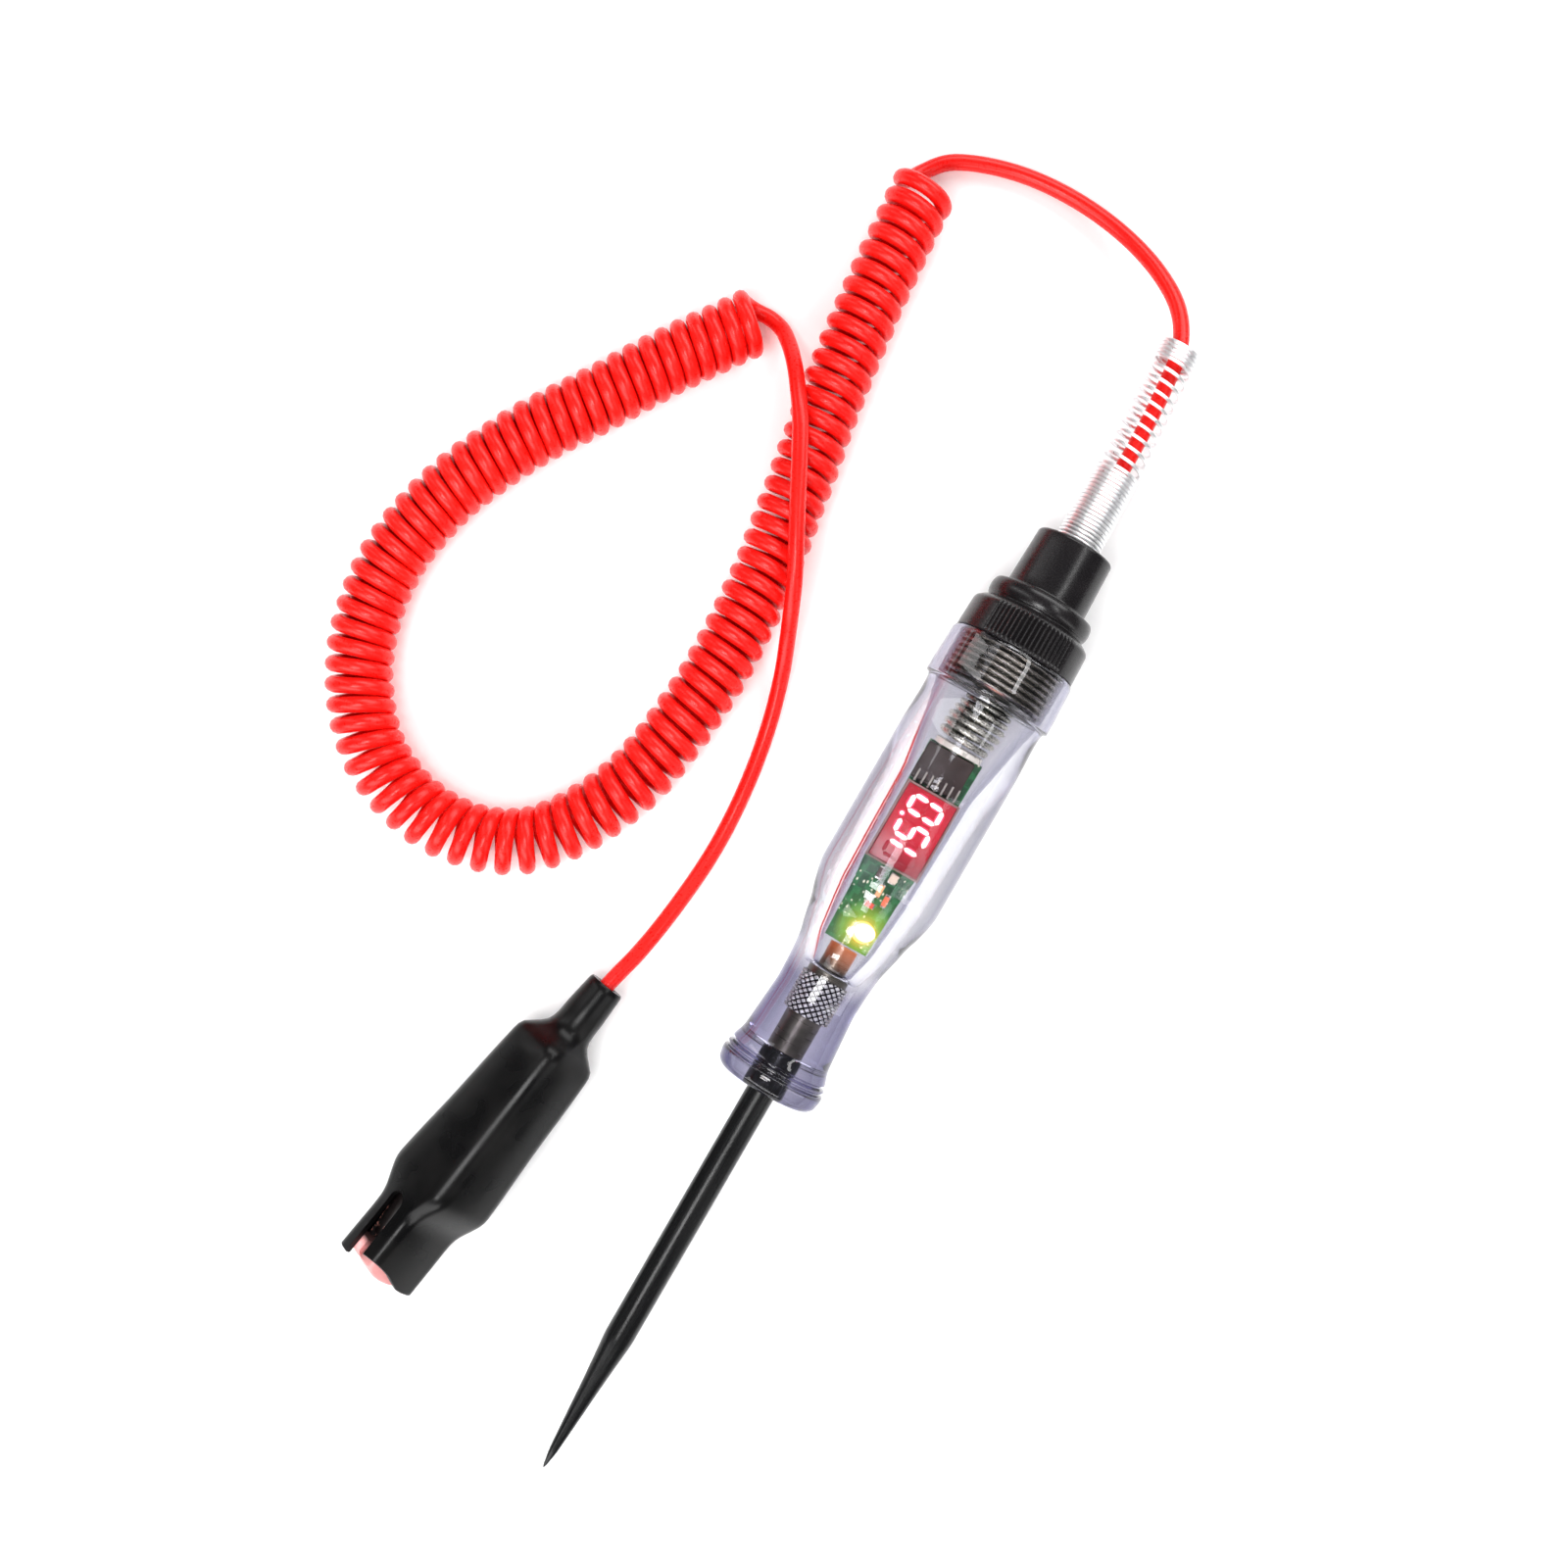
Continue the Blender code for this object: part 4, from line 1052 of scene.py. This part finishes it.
def nickel():
    """Bright thread crests and dark roots, told apart by their distance from the axis."""
    material = look("nickel_plate", (0.72, 0.70, 0.64), 0.2, 1.0)
    crest = spread(material, off_axis(material), 0.01215, 0.01255)
    tint(material, crest, (0.16, 0.15, 0.13), (0.78, 0.74, 0.66))
    marks = grain(material, 900.0, 4.0, (0.3, 3.0, 0.3))
    roughen(material, marks, 0.14, 0.3)
    bump(material, marks, 0.01, 0.4)
    return material


def plug():
    """Threaded plug, closed in front with a small boss where the spring bears."""
    front = [(203.4, 0.0), (203.4, 8.8), (221.0, 8.8), (221.0, 10.2), (212.75, 10.2)]
    thread = [(212.6 - 0.1 * i, 12.5) for i in range(108)]
    face = [(201.8, 11.6), (201.8, 0.0)]

    def radius(station, turn, base):
        if abs(base - 12.5) < 1e-6:
            grown = min(1.0, (station - 201.8) / 0.5, (212.7 - station) / 0.5)
            return base + 0.9 * grown * thread_wave(station, turn) - 0.45 * (1.0 - grown)
        return base

    shape = lathe(front + thread + face, 128, radius)
    finish_mesh("plug", shape, nickel(), "cap", ("thread_plug",), 50.0)


def terminal():
    """Looks of the brass pieces that stay as the CAD has them."""
    brass = look("terminal_brass", (0.72, 0.5, 0.22), 0.3, 1.0)
    marks = grain(brass, 900.0, 3.0, (0.3, 3.0, 0.3))
    roughen(brass, marks, 0.2, 0.4)
    stain = grain(brass, 300.0, 3.0)
    stained = spread(brass, stain, 0.4, 0.7)
    tint(brass, stained, (0.76, 0.54, 0.25), (0.5, 0.32, 0.13))
    for node in ("cord_terminal", "clip_crimp"):
        recolour(node, brass)


def recolour(node, material):
    """Gives a CAD node's object a better material."""
    data = frame["nodes"][node].data
    data.materials.clear()
    data.materials.append(material)


# ---- the clip

# Distance from the mouth, height, width, corner radius.
BOOT_SECTIONS = [
    (0.0, 13.0, 18.2, 2.5), (7.0, 13.0, 18.3, 2.7), (14.6, 13.1, 18.4, 2.9),
    (17.2, 14.4, 18.8, 3.2), (20.2, 17.6, 19.4, 3.6), (23.0, 20.2, 20.0, 4.0),
    (25.4, 20.8, 20.2, 4.3), (43.0, 18.7, 19.0, 4.3), (61.5, 16.6, 17.8, 3.8),
    (64.8, 15.4, 16.6, 3.4), (67.2, 12.2, 13.0, 4.2), (69.6, 10.5, 10.5, 5.0),
    (76.0, 9.6, 9.6, 4.6), (BOOT_END, 8.7, 8.7, 4.2),
]


def boot_section(x):
    """Height, width and corner radius at a distance from the mouth, on smooth curves."""
    rows = BOOT_SECTIONS
    x = min(max(x, rows[0][0]), rows[-1][0])
    k = next(i for i in range(len(rows) - 1) if x <= rows[i + 1][0])
    before, a, b, after = rows[max(0, k - 1)], rows[k], rows[k + 1], rows[min(len(rows) - 1, k + 2)]
    t = (x - a[0]) / (b[0] - a[0])
    result = []
    for i in (1, 2, 3):
        span = b[0] - a[0]
        m0 = (b[i] - before[i]) / max(1e-6, b[0] - before[0]) * span
        m1 = (after[i] - a[i]) / max(1e-6, after[0] - a[0]) * span
        if before is a:
            m0 = b[i] - a[i]
        if after is b:
            m1 = b[i] - a[i]
        value = (
            (2 * t**3 - 3 * t**2 + 1) * a[i]
            + (t**3 - 2 * t**2 + t) * m0
            + (3 * t**2 - 2 * t**3) * b[i]
            + (t**3 - t**2) * m1
        )
        result.append(value)
    return result


def section_ring(x, inset, crown=0.0):
    """Points round the boot at x, as (y, z), with slightly crowned faces."""
    tall, wide, corner = boot_section(x)
    tall, wide = tall - 2 * inset, wide - 2 * inset
    corner = max(0.5, min(corner - inset, min(tall, wide) / 2 - 0.05))
    points = []
    centres = [
        (sy * (wide / 2 - corner), sz * (tall / 2 - corner))
        for sy, sz in ((1, 1), (-1, 1), (-1, -1), (1, -1))
    ]
    for k, (centre_y, centre_z) in enumerate(centres):
        for i in range(9):
            angle = math.radians(90.0 * (k + i / 8))
            points.append((centre_y + corner * math.cos(angle), centre_z + corner * math.sin(angle)))
        next_y, next_z = centres[(k + 1) % 4]
        end = (next_y + corner * math.cos(angle), next_z + corner * math.sin(angle))
        start = points[-1]
        for i in range(1, 6):
            t = i / 6
            y, z = start[0] + (end[0] - start[0]) * t, start[1] + (end[1] - start[1]) * t
            push = crown * (1 - (2 * t - 1) ** 2)
            points.append((y + push * math.cos(angle), z + push * math.sin(angle)))
    return points


def boot_black():
    """Glossy dipped vinyl: soft waves and a few faint blotches."""
    material = look("boot_black", (0.003, 0.003, 0.003), 0.3, Specular_IOR_Level=0.22)
    waves = grain(material, 110.0, 2.0)
    fine = grain(material, 1800.0, 4.0)
    roughen(material, waves, 0.24, 0.34)
    rough = emboss(material, fine, 0.01, 0.35)
    bump(material, waves, 0.12, 0.35, rough)
    patches = spread(material, waves, 0.4, 0.7)
    tint(material, patches, (0.002, 0.002, 0.0022), (0.005, 0.0045, 0.0045))
    return material


def boot():
    """The boot: a thin-walled sleeve over the clip, slit at its mouth, with a neck for the cord."""
    wall, lip, hole = 1.2, 0.25, 2.2
    inner_end = 69.0
    outer = [0.0, 0.3, 1.0, 3.0] + [5.0 + 1.25 * i for i in range(62)] + [82.4, BOOT_END]
    rings = []
    for x in outer:
        inset = lip if x in (0.0, BOOT_END) else 0.0
        crown = 0.25 if x < 62 else 0.0
        rings.append([(x, y, z) for y, z in section_ring(x, inset, crown)])
    end, deepest = section_ring(BOOT_END, 0.0), section_ring(inner_end, wall)
    for x, radius, section in (
        (BOOT_END, hole + 0.15, end),
        (BOOT_END - 0.3, hole, end),
        (inner_end + 0.6, hole, deepest),
    ):
        reaches = [radius / math.hypot(y, z) for y, z in section]
        rings.append([(x, y * reach, z * reach) for (y, z), reach in zip(section, reaches)])
    for x in [x for x in outer[::-1] if x <= inner_end]:
        inset = wall - lip if x == 0.0 else wall
        rings.append([(x, y, z) for y, z in section_ring(x, inset)])
    shape = bmesh.new()
    verts = [[shape.verts.new(in_clip(*mouth_shape(*p))) for p in ring] for ring in rings]
    for a, b in zip(verts, verts[1:] + verts[:1]):
        join(shape, a, b)
    made = finish_mesh("boot", shape, boot_black(), None, (), 40.0)
    slit = bmesh.new()
    half, slit_end = 2.3, 19.0
    outline = [(-4.0, -half), (-4.0, half)]
    for i in range(13):
        angle = math.radians(90.0 - 15.0 * i)
        outline.append((slit_end - half + half * math.cos(angle), half * math.sin(angle)))
    ends = [[slit.verts.new(in_clip(x, y, z)) for x, z in outline] for y in (-15.0, 15.0)]
    join(slit, ends[0], ends[1])
    slit.faces.new(ends[0][::-1])
    slit.faces.new(ends[1])
    cutter = finish_mesh("slit_cutter", slit, None, None)
    cut = made.modifiers.new("slit", "BOOLEAN")
    cut.object = cutter
    cut.solver = "EXACT"
    made = to_mesh(made)
    bpy.data.objects.remove(cutter)
    made.data.shade_smooth()
    made.data.set_sharp_from_angle(angle=math.radians(40.0))
    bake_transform(made)
    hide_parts("clip_boot")
    return made


# At a place across the mouth, how far the near flap's edge is set back: most at its ridge.
NEAR_EDGE = [
    (-9.2, 0.0), (-3.0, 0.1), (-1.0, 0.9), (1.0, 1.9), (3.0, 2.9), (7.0, 4.0), (9.2, 4.5),
]


def mouth_shape(x, y, z):
    """Sets the flaps' edges back: the near one most at its ridge, the far one a little all round."""
    reach = 14.0
    if x > reach:
        return x, y, z
    y_held = min(9.1, max(-9.1, y))
    for (y0, s0), (y1, s1) in zip(NEAR_EDGE, NEAR_EDGE[1:]):
        if y0 <= y_held <= y1:
            near = s0 + (s1 - s0) * (y_held - y0) / (y1 - y0)
    near -= 0.2 * max(0.0, 6.5 - z) * max(0.0, y / 9.1)
    share = min(1.0, max(0.0, (z + 1.5) / 3.0))
    shift = 0.9 * (1.0 - share) + near * share
    return x + shift * (1.0 - x / reach) ** 1.5, y, z


def jaw_copper_painted_shade():
    """Copper plate, pinkish at its nose; deeper in the boot it is painted near black as shade, with a few
    pink specks as painted glints.
    """
    material = look("jaw_copper_painted_shade", (0.93, 0.70, 0.64), 0.5, 0.15)
    moved = vector_node(material, "SUBTRACT", place_of(material), tuple(in_clip(0, 0, 0)))
    depth = vector_node(material, "DOT_PRODUCT", moved, tuple(CLIP.col[0].xyz), "Value")
    drawn = grain(material, 900.0, 4.0)
    roughen(material, drawn, 0.42, 0.6)
    bump(material, drawn, 0.02, 0.4)
    # Painted shade: past the nose the copper is painted near black as the boot's shade, with pink specks
    # as painted glints of the teeth.
    specks = spread(material, grain(material, 620.0, 2.0), 0.60, 0.66)
    painted_shade_inside = blend_colours(material, specks, (0.012, 0.008, 0.008), (0.5, 0.22, 0.18))
    stain = spread(material, grain(material, 260.0, 3.0), 0.45, 0.75)
    bright = blend_colours(material, stain, (0.95, 0.42, 0.41), (0.90, 0.36, 0.35))
    tint(material, spread(material, depth, 0.0042, 0.0062), bright, painted_shade_inside)
    return material


JAW_CUT = 5.0  # how deep in the mouth the CAD's own jaw takes over from the plate's rounded nose
WELD = 0.001  # the CAD's triangles come apart, so their shared corners are joined
PLATE_BACK = 6.0
PLATE_HALF = 7.6
PLATE_TOP = 5.1


def jaw(node, body, side, nose, copper):
    """A jaw as the CAD has it, with the rounded and toothed nose of its plate in front."""
    source = frame["nodes"][node]
    shape = bmesh.new()
    shape.from_mesh(source.data)
    bmesh.ops.remove_doubles(shape, verts=shape.verts, dist=WELD * MM)
    shape.transform(CLIP.inverted() @ source.matrix_world)
    everything = list(shape.verts) + list(shape.edges) + list(shape.faces)
    plane = {"plane_co": (JAW_CUT * MM, 0.0, 0.0), "plane_no": (-1.0, 0.0, 0.0)}
    bmesh.ops.bisect_plane(shape, geom=everything, clear_outer=True, **plane)
    bmesh.ops.holes_fill(shape, edges=[e for e in shape.edges if e.is_boundary], sides=0)
    rows = []
    edge, lip = 0.9, 0.6
    for k in range(31):
        y = PLATE_HALF * math.sin(math.pi / 2 * (k / 15 - 1))
        front = nose + 2.1 * abs(y / PLATE_HALF) ** 2.4
        share = max(0.0, abs(y) - PLATE_HALF + edge) / edge
        top = PLATE_TOP - edge * (1.0 - math.sqrt(max(0.0, 1.0 - share**2)))
        row = []
        for i in range(13):
            row.append((PLATE_BACK + (front + 0.3 - PLATE_BACK) * i / 12, 0.35 + 0.45 * (i % 2)))
        row += [(front + 0.15, 0.35), (front, 0.5)]
        for i in range(5):
            angle = math.radians(22.5 * i)
            row.append((front + lip * (1 - math.cos(angle)), top - lip * (1 - math.sin(angle))))
        row.append((PLATE_BACK, top))
        rows.append([shape.verts.new(Vector((x, y, side * z)) * MM) for x, z in row])
    for low, high in zip(rows, rows[1:]):
        join(shape, low, high)
    shape.faces.new(rows[0][::-1])
    shape.faces.new(rows[-1])
    shape.transform(CLIP)
    return finish_mesh(node + "_plate", shape, copper, body, (node,), 40.0)


def torsion_spring():
    """Spring on the pin. One leg bears on each jaw's lever."""
    points = [(PIVOT_X + 15.0, -2.4, -3.6)]
    for i in range(97):
        share = i / 96
        angle = math.tau * 4.0 * share
        points.append((PIVOT_X + 2.1 * math.cos(angle), -2.4 + 4.8 * share, 2.1 * math.sin(angle)))
    points.append((PIVOT_X + 15.0, 2.4, 3.6))
    steel = spring_wire("clip_spring_steel", (0.6, 0.6, 0.6), 0.2, 0.35)
    path = [in_clip(*p) for p in points]
    made = to_mesh(curve_piece("torsion_spring", path, 0.4, steel, None))
    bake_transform(made)
    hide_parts("clip_torsion_spring")
    return made


def clip_metal():
    """The clip's jaws, pin and spring. Returns the pieces made here."""
    copper = jaw_copper_painted_shade()
    upper = jaw("clip_upper_jaw", "upper_jaw", 1, 0.15, copper)
    lower = jaw("clip_lower_jaw", "cord_end", -1, 0.4, copper)
    recolour("clip_pivot_pin", turned_steel("pin_steel", (0.6, 0.58, 0.55), 0.2, 0.35))
    return [upper, lower, torsion_spring()]


# ---- start

camera()
studio()
lead = cord()
handle()
probe()
board()
read_out()
chip_and_parts()
lamp()
seat()
contact_spring()
relief_spring()
cap()
plug()
terminal()
boot()
clip_metal()
